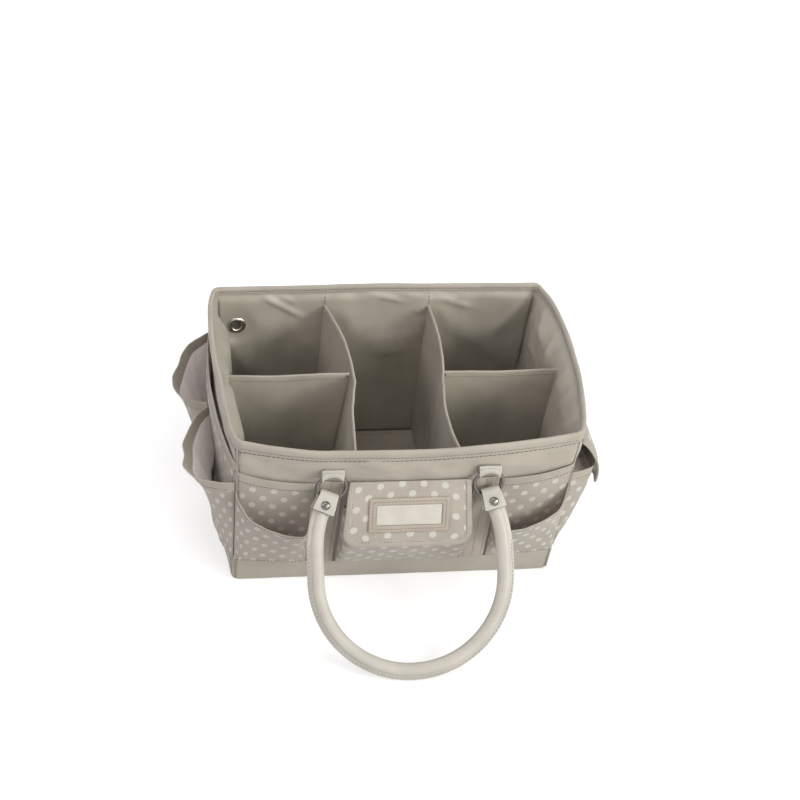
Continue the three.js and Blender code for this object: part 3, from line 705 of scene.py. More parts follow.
def dot_print(recipe, place):
    """A mask of dots in rows, every second row moved by half a spacing."""
    def from_middle(value, spacing):
        return recipe.sum("MULTIPLY", recipe.sum("SUBTRACT", recipe.sum("FRACT", value), 0.5), spacing)

    size = sizes()
    parts = recipe.node("SeparateXYZ", {0: place})
    row = recipe.sum("DIVIDE", parts.outputs[1], size.dot_row)
    odd = recipe.sum("MULTIPLY", recipe.sum("FLOORED_MODULO", recipe.sum("FLOOR", row), 2.0), 0.5)
    column = recipe.sum("ADD", recipe.sum("DIVIDE", parts.outputs[0], size.dot_spacing), odd)
    across = from_middle(column, size.dot_spacing)
    up = from_middle(row, size.dot_row)
    square = recipe.sum("ADD", recipe.sum("MULTIPLY", across, across), recipe.sum("MULTIPLY", up, up))
    uneven = recipe.sum("MULTIPLY", recipe.sum("SUBTRACT", recipe.cloud(700, 2.0), 0.5), size.dot * 0.09)
    away = recipe.sum("ADD", recipe.sum("SQRT", square), uneven)
    return recipe.ramp(away, size.dot * 0.53, size.dot * 0.47)


THREAD_RELIEF = 0.00012


def cloth(name, colour, roughness=0.82, sheen=0.25, blotch=0.12, dots=0.0, through=0.0):
    """Woven cloth: its threads, soft blotches and fuzz. It may have dots or let light through."""
    recipe = Recipe(name)
    threads = weave(recipe, sizes().weave)
    wide = recipe.cloud(22, 3.0)
    fine = recipe.cloud(260, 3.0)
    dark = linear(colour, 0.80)
    light = linear(colour, 1.12)
    blotches = recipe.ramp(wide, 0.5 - 0.5 * (blotch + 0.2), 0.5 + 0.5 * (blotch + 0.2),
                           0.5 - 1.6 * blotch, 0.5 + 1.6 * blotch)
    ground = recipe.mix(blotches, dark, light)
    # Painted shade: the cloth is darker in the gaps between its threads
    between = recipe.sum("MULTIPLY", recipe.ramp(threads, 0.35, 0.9, 1.0, 0.0), 0.22)
    ground = recipe.mix(between, ground, linear(colour, 0.55))
    ground = recipe.mix(recipe.ramp(fine, 0.55, 0.8, 0.0, 0.18), ground, linear(colour, 1.35))
    height = recipe.sum("ADD", recipe.sum("MULTIPLY", threads, 0.7), recipe.sum("MULTIPLY", fine, 0.3))
    rough = recipe.ramp(fine, 0.3, 0.7, roughness - 0.08, roughness + 0.08)
    if dots:
        print_mask = recipe.sum("MULTIPLY", dot_print(recipe, recipe.where.outputs["UV"]), dots)
        ink = recipe.mix(recipe.ramp(threads, 0.2, 0.9, 0.35, 0.0), linear(colours().dots), ground)
        ground = recipe.mix(print_mask, ground, ink)
        rough = recipe.sum("SUBTRACT", rough, recipe.sum("MULTIPLY", print_mask, 0.15))
        height = recipe.sum("ADD", height, recipe.sum("MULTIPLY", print_mask, 0.25))
    drape = recipe.bump(recipe.cloud(26, 3.0), 0.003, 0.55)
    creases = recipe.bump(recipe.cloud(75, 2.0), 0.0009, 0.65, drape)
    recipe.set(Base_Color=ground, Roughness=rough, Sheen_Weight=sheen, Sheen_Roughness=0.5,
               Normal=recipe.bump(height, THREAD_RELIEF, 0.9, creases), Specular_IOR_Level=0.3)
    recipe.set(Subsurface_Weight=through, Subsurface_Radius=(1.0, 0.92, 0.88), Subsurface_Scale=0.005)
    return recipe.material


def satin(name, colour, roughness=0.31):
    """Lining cloth: a soft gloss, faint upright streaks of painted sheen and wide blotches."""
    recipe = Recipe(name)
    wide = recipe.cloud(13, 4.0)
    drawn = recipe.streaks((60, 60, 9), 2.0, 0.5)
    ground = recipe.mix(recipe.ramp(wide, 0.3, 0.7), linear(colour, 0.86), linear(colour, 1.12))
    # Painted sheen: faint upright streaks lighter than the cloth
    ground = recipe.mix(recipe.ramp(drawn, 0.35, 0.75, 0.0, 0.3), ground, linear(colour, 1.2))
    fine = recipe.cloud(900, 2.0)
    ground = recipe.mix(recipe.ramp(fine, 0.3, 0.7, 0.05, 0.0), ground, linear(colour, 0.7))
    rough = recipe.ramp(recipe.cloud(45, 1.0), 0.3, 0.7, roughness, roughness + 0.1)
    recipe.set(Base_Color=ground, Roughness=rough, Normal=recipe.bump(fine, 0.00002, 0.25),
               Specular_IOR_Level=0.6, Sheen_Weight=0.1, Sheen_Roughness=0.4)
    return recipe.material


def leather(name, colour, roughness=0.46, grain=1100):
    """Smooth coated leather: fine pebbled grain, worn lighter spots, painted shade in the hollows of its
    grain.
    """
    recipe = Recipe(name)
    cells = recipe.node("TexVoronoi", {"Vector": recipe.where.outputs["Object"], "Scale": float(grain)},
                        feature="SMOOTH_F1").outputs[0]
    wide = recipe.cloud(35, 4.0)
    fine = recipe.cloud(400, 3.0)
    ground = recipe.mix(recipe.ramp(wide, 0.35, 0.68), linear(colour, 0.93), linear(colour, 1.06))
    # Painted shade: the hollows of the grain are made darker
    ground = recipe.mix(recipe.ramp(cells, 0.15, 0.6, 0.12, 0.0), ground, linear(colour, 0.7))
    ground = recipe.mix(recipe.ramp(fine, 0.6, 0.8, 0.0, 0.2), ground, linear(colour, 1.18))
    height = recipe.sum("ADD", recipe.sum("MULTIPLY", cells, 0.5), recipe.sum("MULTIPLY", fine, 0.5))
    wrinkles = recipe.bump(recipe.cloud(110, 3.0), 0.0004, 0.35)
    rough = recipe.ramp(fine, 0.25, 0.75, roughness - 0.07, roughness + 0.09)
    recipe.set(Base_Color=ground, Roughness=rough, Normal=recipe.bump(height, 0.00012, 0.6, wrinkles),
               Specular_IOR_Level=0.45, Coat_Weight=0.06, Coat_Roughness=0.35)
    return recipe.material


def nickel(name, colour, polish=0.10):
    """Plated metal with fine scratches and a slightly uneven polish."""
    recipe = Recipe(name)
    scratch = recipe.streaks((900, 200, 900), 3.0, 0.7)
    tarnish = recipe.cloud(160, 3.0)
    ground = recipe.mix(recipe.ramp(tarnish, 0.35, 0.75, 0.0, 0.4), linear(colour), linear(colour, 0.72))
    rough = recipe.ramp(scratch, 0.3, 0.7, polish, polish + 0.14)
    recipe.set(Base_Color=ground, Metallic=1.0, Roughness=rough, Normal=recipe.bump(scratch, 0.00004, 0.5))
    return recipe.material


def thread(name, colour):
    """Twisted thread."""
    recipe = Recipe(name)
    place = recipe.where.outputs["Object"]
    twist = recipe.node("TexWave", {"Vector": place, "Scale": WAVE_TURN / 0.0005, "Distortion": 1.5},
                        bands_direction="DIAGONAL").outputs[1]
    # Painted light and shade: the twist's raised plies are lighter and its grooves darker
    ground = recipe.mix(twist, linear(colour, 0.7), linear(colour, 1.15))
    recipe.set(Base_Color=ground, Roughness=0.6, Normal=recipe.bump(twist, 0.0001, 0.6), Sheen_Weight=0.2)
    return recipe.material


def card(name, colour):
    """Grey card with flecks."""
    recipe = Recipe(name)
    fleck = recipe.cloud(900, 4.0)
    ground = recipe.mix(recipe.ramp(fleck, 0.4, 0.7), linear(colour, 0.85), linear(colour, 1.15))
    recipe.set(Base_Color=ground, Roughness=0.9, Normal=recipe.bump(fleck, 0.0002, 0.5))
    return recipe.material


def plate(name, colour):
    """Satin plate, faintly brushed and dusty."""
    recipe = Recipe(name)
    brushed = recipe.streaks((60, 900, 900), 3.0, 0.6)
    cloudy = recipe.cloud(70, 3.0)
    ground = recipe.mix(recipe.ramp(cloudy, 0.3, 0.7), linear(colour, 0.94), linear(colour, 1.04))
    ground = recipe.mix(recipe.ramp(brushed, 0.4, 0.8, 0.0, 0.15), ground, linear(colour, 0.8))
    rough = recipe.ramp(brushed, 0.3, 0.7, 0.30, 0.44)
    recipe.set(Base_Color=ground, Roughness=rough, Normal=recipe.bump(brushed, 0.00005, 0.5),
               Specular_IOR_Level=0.5)
    return recipe.material


def loops_patch(name, colour):
    """Fuzzy patch of hooks or loops."""
    recipe = Recipe(name)
    tufts = recipe.node("TexVoronoi", {"Vector": recipe.where.outputs["Object"], "Scale": 1300.0}).outputs[0]
    ground = recipe.mix(recipe.ramp(tufts, 0.1, 0.6), linear(colour, 1.1), linear(colour, 0.6))
    recipe.set(Base_Color=ground, Roughness=0.9, Normal=recipe.bump(tufts, 0.0004, 0.9), Sheen_Weight=0.4)
    return recipe.material


def shade(colour, factor):
    """A screen colour made darker or lighter."""
    return [channel * factor for channel in colour]


FINISHES = {}

RECIPES = {
    "plain_cloth": lambda name: cloth(name, colours().plain, blotch=0.09),
    "dotted_cloth": lambda name: cloth(name, colours().dotted, dots=0.82),
    "facing_cloth": lambda name: cloth(name, colours().facing, roughness=0.7, sheen=0.2, dots=0.3,
                                       through=1.0),
    "binding_cloth": lambda name: cloth(name, colours().binding, roughness=0.72, blotch=0.1),
    "lining_satin": lambda name: satin(name, colours().lining),
    "floor_cloth": lambda name: cloth(name, colours().floor, roughness=0.75, blotch=0.2),
    "cream_leather": lambda name: leather(name, colours().leather),
    "label_leather": lambda name: leather(name, colours().label, roughness=0.5, grain=900),
    "raw_edge": lambda name: leather(name, shade(colours().leather, 0.62), roughness=0.7),
    "plate_satin": lambda name: plate(name, colours().plate),
    "nickel_plating": lambda name: nickel(name, colours().nickel),
    "eyelet_plating": lambda name: nickel(name, shade(colours().nickel, 1.8), 0.2),
    "thread": lambda name: thread(name, colours().thread),
    "seam_thread": lambda name: thread(name, colours().seam),
    "label_thread": lambda name: thread(name, shade(colours().label, 0.76)),
    "leather_thread": lambda name: thread(name, shade(colours().leather, 0.74)),
    "card": lambda name: card(name, colours().board),
    "fastener_loops": lambda name: loops_patch(name, colours().fastener),
}


def finish(name):
    """The material of that name, made when it is first asked for."""
    if name not in FINISHES:
        FINISHES[name] = RECIPES[name](name)
    return FINISHES[name]


# Pockets sewn to a wall: the step at their hem, the least they stand out, and how large their unevenness is
HEM_FOLD = 0.55
LEAST_OUT = 0.9
PUCKER_SIZE = 5.5
PUCKER_REACH = 9
SOFT_SIZE = 24


class Pocket:
    """A cloth sewn to a wall along its ends and its foot, with a hem along its lip."""

    def __init__(self, wall, start, end, top, out, seed, hem=0.0, pucker=0.5):
        self.wall = WALLS[wall]
        self.turned = (end(SEWN) - start(SEWN)) * self.wall.sense < 0
        self.start = start
        self.end = end
        self.top = top
        self.out = out
        self.hem = hem
        self.pucker = pucker
        self.seed = seed

    def from_start(self, u):
        """A share of the way across, seen from outside, as a share from the pocket's start."""
        return 1 - u if self.turned else u

    def surface(self, u, z):
        """The outer face at a share of the way across, seen from outside, and a height."""
        share = self.from_start(u)
        along = lerp(self.start(z), self.end(z), share)
        top = self.top(share)
        drop = top - z
        fold = HEM_FOLD * (1 - smooth(drop, self.hem - 0.6, self.hem + 0.3)) if self.hem else 0
        low = math.exp(-max(0, z - SEWN) / PUCKER_REACH)
        gather = self.pucker * low * ripple(self.seed, along, z * 0.25, PUCKER_SIZE)
        soft = 0.5 * self.pucker * ripple(self.seed + 3, along, z, SOFT_SIZE) * smooth(z, SEWN, SEWN + 14)
        edge = smooth(min(share, 1 - share), 0, 0.07)
        sewn_down = END_PRESS * (1 - smooth(min(share, 1 - share), 0, 0.02))
        rise = max(0.0, self.out(share, z)) + fold + (gather + soft) * edge - sewn_down
        return beside(self.wall, along, max(rise, LEAST_OUT), z)

    def level(self, share, j, rows):
        """The height of a grid row: even up to the hem, and closer together where the hem folds."""
        top = self.top(share)
        if not self.hem:
            return lerp(SEWN, top, j / rows)
        drops = [self.hem + 0.9, self.hem + 0.1, self.hem - 0.8, self.hem * 0.55, 2.2, 0.7, 0]
        plain = rows - len(drops) + 1
        if j < plain:
            return lerp(SEWN, top - drops[0], j / plain)
        return top - drops[j - plain]

    def place(self, columns, rows):
        def at(i, j):
            u = i / columns
            return self.surface(u, self.level(self.from_start(u), j, rows))
        return at

    def row(self, drop, ends=0.02, steps=60):
        """A row of stitches so far below the lip."""
        def at(t, rise):
            u = lerp(ends, 1 - ends, t)
            return self.surface(u, self.top(self.from_start(u)) - drop + rise)
        return at, steps

    def foot_row(self, up=FOOT_STITCH, ends=0.02, steps=60):
        """A row of stitches so far above the foot."""
        def at(t, rise):
            return self.surface(lerp(ends, 1 - ends, t), SEWN + up + rise)
        return at, steps

    def upright(self, share, low, high, steps):
        """A row of stitches up the cloth at a share of the way across."""
        def at(t, rise):
            return self.surface(share - 0.01 * rise, lerp(low, high, t))
        return at, steps


POCKET_CLOTHS = ("dotted_cloth", "binding_cloth", "facing_cloth", "plain_cloth")
HEM_ROWS = 5


def pocket_piece(name, pocket, columns, rows, offset=(0.0, 0.0)):
    """The pocket's mesh: outer cloth, hem and inner side, each with its own material."""
    piece = grid(name + "_cloth", columns, rows, pocket.place(columns, rows), offset=offset)
    wear(piece, *POCKET_CLOTHS)
    mark(piece, columns, lambda column, row: row >= rows - HEM_ROWS)
    thicken(piece, FABRIC, inside=2)
    round_off(piece)
    dress(piece, "bag", "dotted_cloth", replaces=(name,))


def strap_side(sign):
    return lambda z: sign * ((HANDLE_SPACING + STRAP_WIDTH) / 2 + POCKET_MARGIN)


def corner_side(wall, sign):
    return lambda z: sign * (WALLS[wall].end(z) - 0.3)


def flat_top(u):
    return 160 + 7 * u ** 3


def flat_out(u, z):
    return SEWN_ON + 2 * swell(u) * smooth(z, SEWN, flat_top(u))


def front_flat(sign):
    return Pocket("front", strap_side(sign), corner_side("front", sign), flat_top, flat_out,
                  hem=sizes().hem / MM, seed=2 + sign)


# How far the low pocket's lip hangs open, from the strap to the corner
LOW_LIP = [(0, 0), (0.03, 0.5), (0.08, 0.92), (0.15, 1.04), (0.36, 1.02), (0.63, 0.88), (0.86, 0.68),
           (0.94, 0.46), (1, 0)]


def front_low(sign):
    def lip(u):
        return soft_follow(LOW_LIP, u, 0.03) * smooth(min(u, 1 - u), 0, 0.03)

    def top(u):
        return 136 + 4 * u ** 6 - 30 * lip(u)

    def out(u, z):
        rise = clamp((z - SEWN) / (top(u) - SEWN))
        return flat_out(u, z) + SEWN_ON + 27 * lip(u) * (0.8 * rise + 0.2 * rise ** 3)

    return Pocket("front", strap_side(sign), corner_side("front", sign), top, out, hem=4.5, pucker=0.9,
                  seed=5 + sign)


def tall_out(u, z):
    return SEWN_ON + 9 * swell(u) * clamp((z - SEWN) / (TALL_TOP - SEWN)) ** 1.5


def bellows(side):
    sign = 1 if side == "rear" else -1
    shape = BELLOWS_SHAPE[side]

    def full(u):
        return soft_follow(shape, u, 0.04) * smooth(u, 0, 0.05) * smooth(1 - u, 0, 0.04)

    def top(u):
        return BELLOWS_TOP - 7 * full(u)

    def out(u, z):
        rise = clamp((z - SEWN) / (top(u) - SEWN))
        body = 24 * math.sin(rise * math.pi / 2) + BELLOWS_FLARE[side] * rise ** 6
        pleat = 2.8 * (1 - rise) * rise * 4 * math.sin(u * math.pi * 7 + 0.6) * math.sin(math.pi * u)
        lip = 1.1 * rise ** 3 * math.sin(u * math.pi * 5) * math.sin(math.pi * u)
        wall_share = 0.5 + 0.5 * sign * u
        return tall_out(wall_share, z) + SEWN_ON + (body + pleat + lip) * full(u)

    return Pocket("left", lambda z: sign * MIDDLE_GAP, corner_side("left", sign), top, out, hem=SIDE_HEM,
                  pucker=2.2, seed=9 + sign)


def right_rear():
    def out(u, z):
        return SEWN_ON + 2 * swell(u) * clamp((z - SEWN) / (RIGHT_REAR_TOP - SEWN))

    return Pocket("right", lambda z: MIDDLE_GAP, corner_side("right", 1), lambda u: RIGHT_REAR_TOP, out,
                  hem=SIDE_HEM, seed=12)


def flap_full(u):
    return SEWN_ON + 24 * soft_follow(FLAP_POCKET_SHAPE, u, 0.03) * smooth(1 - u, 0, 0.05)


def right_pouch():
    def out(u, z):
        rise = clamp((z - SEWN) / (FLAP_POCKET_TOP - SEWN))
        return lerp(SEWN_ON, flap_full(u), math.sin(rise * math.pi / 2) ** 0.8)

    return Pocket("right", lambda z: -MIDDLE_GAP, corner_side("right", -1), lambda u: FLAP_POCKET_TOP, out,
                  hem=SIDE_HEM, pucker=1.1, seed=14)


def back_pocket(start, end, seed):
    def out(u, z):
        return SEWN_ON + 2 * swell(u) * smooth(z, SEWN, BACK_TOP)

    return Pocket("back", start, end, lambda u: BACK_TOP, out, hem=SIDE_HEM, seed=seed)


# Body of the bag
class OBJECT_OT_organizer_bag_walls(bpy.types.Operator):
    """Outer cloth, bottom cloth, boards, plain band and corner seams"""
    bl_idname = "organizer_bag.walls"
    bl_label = "Walls"

    def execute(self, context):
        stations = around_stations(60, 40)
        levels = [0.6, 4, 14, 32, 60, 90, 120, 145, 158, 164, 170, 176, 182, 188, 194, 199, 204, 209]

        def skin(j, wall, station):
            z = levels[j]
            along = along_at(wall, station, z)
            dimple = 0.8 + 4.0 * ripple(4, along + wall.start + 0.7 * z, z * 1.2, 26)
            dimple += 0.9 * ripple(6, along + z, z, 12)
            room = smooth(z, 162, 178) * smooth(2 - abs(station), 0, 0.9) * smooth(200 - z, 0, 5)
            if wall.name == "left":
                room *= 0.25
            return max(-0.25, dimple * room), z

        cloth_piece = loop_piece("body_cloth", stations, skin, rows=len(levels) - 1)
        thicken(cloth_piece, FABRIC)
        punch_eyelet(cloth_piece)
        dress(cloth_piece, "bag", "plain_cloth", "plain_cloth",
              replaces=("front_panel", "back_panel", "left_panel", "right_panel"))

        heights = [0.4, 1.6, 8, 16, 24, 30, 32.2, 33.0]

        def band(j, wall, station):
            z = heights[j]
            along = along_at(wall, station, z) + wall.start
            fold = 0.35 * smooth(z, 28, 30)
            turned = -0.5 * (1 - smooth(z, 0.3, 3))
            soft = 0.35 * ripple(8, along, z, 18) + 0.2 * ripple(3, along, z * 0.4, 6)
            return 1.45 + fold + turned + soft, z

        band_piece = loop_piece("bottom_band", stations, band, rows=len(heights) - 1)
        thicken(band_piece, 1.1)
        round_off(band_piece)
        dress(band_piece, "bag", "plain_cloth", "plain_cloth", replaces=("bottom_band",))

        self.underside()
        self.corners()
        for wall in WALLS.values():
            self.board(wall)
        return {"FINISHED"}

    def board(self, wall):
        """The stiff card between a wall's cloth and its lining."""
        columns, rows = 30, 24

        def place(i, j):
            z = lerp(BOARD_FOOT, BOARD_TOP, j / rows)
            along = lerp(-1, 1, i / columns) * (wall.end(z) - BOARD_SHORT) * wall.sense
            return beside(wall, along, BOARD_OUT, z)

        piece = grid(wall.name + "_board_card", columns, rows, place)
        thicken(piece, BOARD)
        ease_edges(piece, 0.0003)
        dress(piece, "bag", "board", "card", replaces=(wall.name + "_board",))

    def underside(self):
        """The bottom cloth, bowed a little along its front and back, with its corners drawn in."""
        steps = 28
        drawn_from = 0.96
        drawn_in = 2

        def past(share):
            return max(0, abs(share) - drawn_from) / (1 - drawn_from)

        def place(i, j):
            across = 1 - 2 * i / steps
            deep = 2 * j / steps - 1
            front = WALLS["front"].stand(1) + WALLS["front"].bow * (1 - across ** 2) * 0.012 - 0.2
            side = WALLS["right"].stand(1) - 0.2
            x, y = across * side, deep * front
            inward = drawn_in * past(across) * past(deep)
            sag = 0.25 * ripple(1, x, y, 40)
            return Vector((x - math.copysign(inward, x), y - math.copysign(inward, y), 0.25 + max(0, sag)))

        piece = grid("base_cloth", steps, steps, place)
        thicken(piece, 1.0)
        dress(piece, "bag", "plain_cloth", "plain_cloth", replaces=("base_panel",))

    def corners(self):
        """A narrow welt up each corner, from the bottom band to the rim binding."""
        count = 40
        for side, sign in (("front", -1), ("front", 1), ("back", -1), ("back", 1)):
            wall = WALLS[side]

            def section(k):
                z = lerp(2, 199, k / count)
                middle = beside(wall, sign * wall.end(z), 0.9 if z > BAND_HEIGHT + 1 else 2.1, z)
                angles = [math.pi * turn / 4 for turn in range(8)]
                return [middle + Vector((math.cos(angle), math.sin(angle), 0)) * WELT for angle in angles]

            name = "_".join((side, "left" if sign < 0 else "right", "welt"))
            piece = sweep(name, range(count + 1), section)
            round_off(piece)
            dress(piece, "bag", "plain_cloth", "binding_cloth")


def punch_eyelet(piece):
    """Cut the eyelet's hole through a cloth of the back wall."""
    pick()
    at = beside(WALLS["back"], EYELET_X, -2, EYELET_Z) * MM
    bpy.ops.mesh.primitive_cylinder_add(vertices=32, radius=EYELET_HOLE * MM, depth=0.06, location=at,
                                        rotation=(math.pi / 2, 0, 0))
    drill = bpy.context.object
    modify(piece, "BOOLEAN", operation="DIFFERENCE", object=drill, solver="EXACT")
    discard(drill)


# Creases pressed into the lining: from (along, z), to (along, z), width and how far each stands in
CREASES = {
    "back": [
        (-132, 202, -82, 171, 3.0, 3.6), (-112, 202, -92, 190, 2.4, 2.0), (-180, 168, -134, 88, 15, 4.4),
        (-100, 168, -70, 120, 12, 1.8), (-59, 188, -59, 202, 1.4, 1.8), (59, 188, 59, 202, 1.4, 1.8),
        (8, 150, 12, 112, 22, 2.4), (-16, 203, 34, 189, 2.4, 2.6), (2, 204, 48, 197, 2.0, 2.0),
        (46, 174, 58, 192, 2.8, 3.0), (74, 195, 112, 181, 3.0, 2.8), (174, 198, 138, 148, 6, 2.4),
        (96, 150, 150, 110, 16, 2.2),
    ],
    "right": [
        (98, 202, 58, 177, 3.6, 3.2), (109, 194, 100, 140, 4, 3.0), (48, 202, 28, 158, 5, 3.2),
        (94, 168, 62, 148, 5, 2.8), (76, 196, 80, 120, 4, 2.2), (-8, 201, -14, 50, 6, 3.0),
        (-44, 202, -38, 70, 7, 3.4), (-84, 202, -72, 70, 7, 3.2),
    ],
    "left": [(60, 190, 40, 120, 20, 2.4), (96, 196, 78, 150, 7, 1.8), (-50, 190, -60, 100, 22, 2.2)],
    "front": [(-150, 190, -90, 120, 12, 2.6), (20, 190, -30, 110, 14, 2.6), (150, 190, 90, 110, 12, 2.6)],
}

# Folds of the back lining that hang between two seams: middle, half width, lowest height, height of the
# ends, width and how far each stands in
SWAGS = [(14, 66, 132, 198, 26, 4.2), (120, 60, 146, 196, 18, 2.6)]


def crease_height(name, along, z):
    """How far the lining stands in from its wall."""
    height = 0.0
    for a0, z0, a1, z1, width, stand in CREASES[name]:
        line = Vector((a1 - a0, z1 - z0))
        here = Vector((along - a0, z - z0))
        share = clamp(here.dot(line) / line.length_squared)
        away = (here - line * share).length
        taper = smooth(share, -0.15, 0.3) * smooth(1 - share, -0.15, 0.3)
        height += stand * math.exp(-(away / width) ** 1.5) * taper
    for middle, half, low, high, width, stand in SWAGS:
        share = abs(along - middle) / half
        if name == "back" and share < 1:
            sag = lerp(low, high, share ** 2)
            height += stand * math.exp(-((z - sag) / width) ** 2) * smooth(1 - share, 0, 0.4)
    return height


# How far the lining bulges in at the middle of a wall's height
BULGE = {"left": 12, "right": 9}


def lining_out(wall, along, z, turned=0.0):
    """Where the lining's inner face lies, out from the wall. turned is how far round the corner it is."""
    stay = smooth(205 - z, 0, 9) * smooth(2 - turned, 0, 1.04)
    slack = 1.4 + 1.5 * ripple(11, along + wall.start, z, 46) + 0.5 * ripple(12, along + wall.start, z, 17)
    slack = max(0, slack) * smooth(z, 0, 30)
    if wall.name in BULGE:
        dent = 1 - 0.35 * math.exp(-(along / 9) ** 2)
        slack += (BULGE[wall.name] * smooth(z, 20, 150) * smooth(204 - z, 0, 26)
                  * smooth(118 - abs(along), 0, 40) * dent)
    if wall.name == "back":
        stay *= smooth(math.hypot(along - EYELET_X, z - EYELET_Z), 12, 26)
    return lerp(LINING_OUT, -2.6, smooth(z, 193, 203)) - stay * (crease_height(wall.name, along, z) + slack)


class OBJECT_OT_organizer_bag_lining(bpy.types.Operator):
    """Satin lining with its folds, and the covered board on the bottom"""
    bl_idname = "organizer_bag.lining"
    bl_label = "Lining and floor"

    def execute(self, context):
        stations = around_stations(110, 76)
        count = 66

        def skin(j, wall, station):
            z = lerp(2, LINING_TOP, j / count)
            return lining_out(wall, along_at(wall, station, z), z, abs(station)), z

        piece = loop_piece("lining_cloth", stations, skin, rows=count)
        edit(piece, bpy.ops.mesh.flip_normals)
        thicken(piece, 0.7)
        punch_eyelet(piece)
        dress(piece, "bag", "lining_cloth", "lining_satin", replaces=("lining",))
        self.floor_board()
        return {"FINISHED"}

    def floor_board(self):
        """The covered board on the bottom, sewn all round."""
        columns, rows = 60, 40

        def top(i, j):
            x = lerp(-FLOOR_HALF_X, FLOOR_HALF_X, i / columns)
            y = lerp(-FLOOR_HALF_Y, FLOOR_HALF_Y, j / rows)
            edge = min(FLOOR_HALF_X - abs(x), FLOOR_HALF_Y - abs(y))
            rounded = -1.2 * math.exp(-edge / 1.2)
            sewn = -0.45 * math.exp(-((edge - FLOOR_STITCH) / 0.9) ** 2)
            soft = 0.25 * ripple(15, x, y, 30)
            return Vector((x, y, FLOOR_TOP + rounded + sewn + min(0.2, soft)))

        board = grid("base_insert_cloth", columns, rows, top)
        thicken(board, 2.4)
        round_off(board)
        dress(board, "bag", "lining_cloth", "floor_cloth", replaces=("base_insert",))

        stitches = frame_rows(FLOOR_HALF_X - FLOOR_STITCH, FLOOR_HALF_Y - FLOOR_STITCH, 40,
                              lambda x, y: Vector((x, y, FLOOR_TOP - 0.15)))
        sew("floor_stitches", stitches, "bag", "lining_cloth")


# Rim binding: how far out and how high each row of its skin lies
BINDING_SECTION = [(0.5, 197.6), (1.25, 198.2), (1.5, 199.6), (1.45, 200.8), (0.7, 201.7), (1.45, 202.6),
                   (1.65, 204.6), (1.6, 207.2), (1.2, 209.6), (0.3, 211.2), (-0.9, 212.0), (-2.2, 211.9),
                   (-3.4, 211.0), (-4.0, 209.5), (-4.1, 208), (-3.5, 206.9), (-4.2, 205.8), (-4.1, 204.4),
                   (-3.4, 203.8)]


def binding_point(wall, station, out, z):
    along = along_at(wall, station, z)
    where = along + wall.start
    drag = 0.16 * math.sin(0.62 * where + 0.5 * z) + 0.3 * ripple(21, where, z * 2, 9)
    lump = 0.45 * ripple(22, where, 0, 34)
    rise = 0.9 * ripple(23, where, 0, 48) - 0.4
    side = 1 if out > -1.5 else -1
    edge = 0.6 * ripple(24, where, 3 * side, 30) * smooth(204 - z, 0, 6)
    lifted = z + edge + min(0, rise) * smooth(z, 200, 211)
    return beside(wall, along, out + side * (0.5 * drag + 0.5 * lump), min(HEIGHT, lifted))


class OBJECT_OT_organizer_bag_binding(bpy.types.Operator):
    """Rounded binding sewn over the rim, with its stitches inside and outside"""
    bl_idname = "organizer_bag.binding"
    bl_label = "Rim binding"

    def execute(self, context):
        stations = around_stations(120, 84)

        def place(i, j):
            wall, station = stations[i]
            return binding_point(wall, station, *BINDING_SECTION[j])

        piece = grid("rim_binding_cloth", len(stations) - 1, len(BINDING_SECTION) - 1, place)
        edit(piece, weld)
        thicken(piece, 0.9)
        dress(piece, "bag", "binding_cloth", "binding_cloth", replaces=("rim_binding",))

        rows = []
        for wall in WALLS.values():
            for out, z, way in ((0.95, 201.7, 1), (-3.8, 206.9, -1)):
                def at(t, rise, wall=wall, out=out, z=z, way=way):
                    station = lerp(-1.35, 1.35, t) * wall.sense * way
                    return binding_point(wall, station, out, z + rise)
                rows.append((at, 150))
        sew("rim_stitches", rows, "bag", "binding_cloth")

        seams = []
        for wall in WALLS.values():
            def under(t, rise, wall=wall):
                station = lerp(-1.9, 1.9, t) * wall.sense
                z = 197.2 + rise
                return beside(wall, along_at(wall, station, z), 0.9, z)
            seams.append((under, 190))
        sew("under_rim_stitches", seams, "bag", "binding_cloth", "seam_thread", length=3.9, lift=0.08)
        return {"FINISHED"}


def divider_x(side, u, z):
    bend = DIVIDER_BELLY[side] * math.sin(math.pi * u) + DIVIDER_SWAY[side] * math.sin(2 * math.pi * u)
    x = DIVIDER_EDGE - bend * z / DIVIDER_TOP
    return -x if side == "left" else x


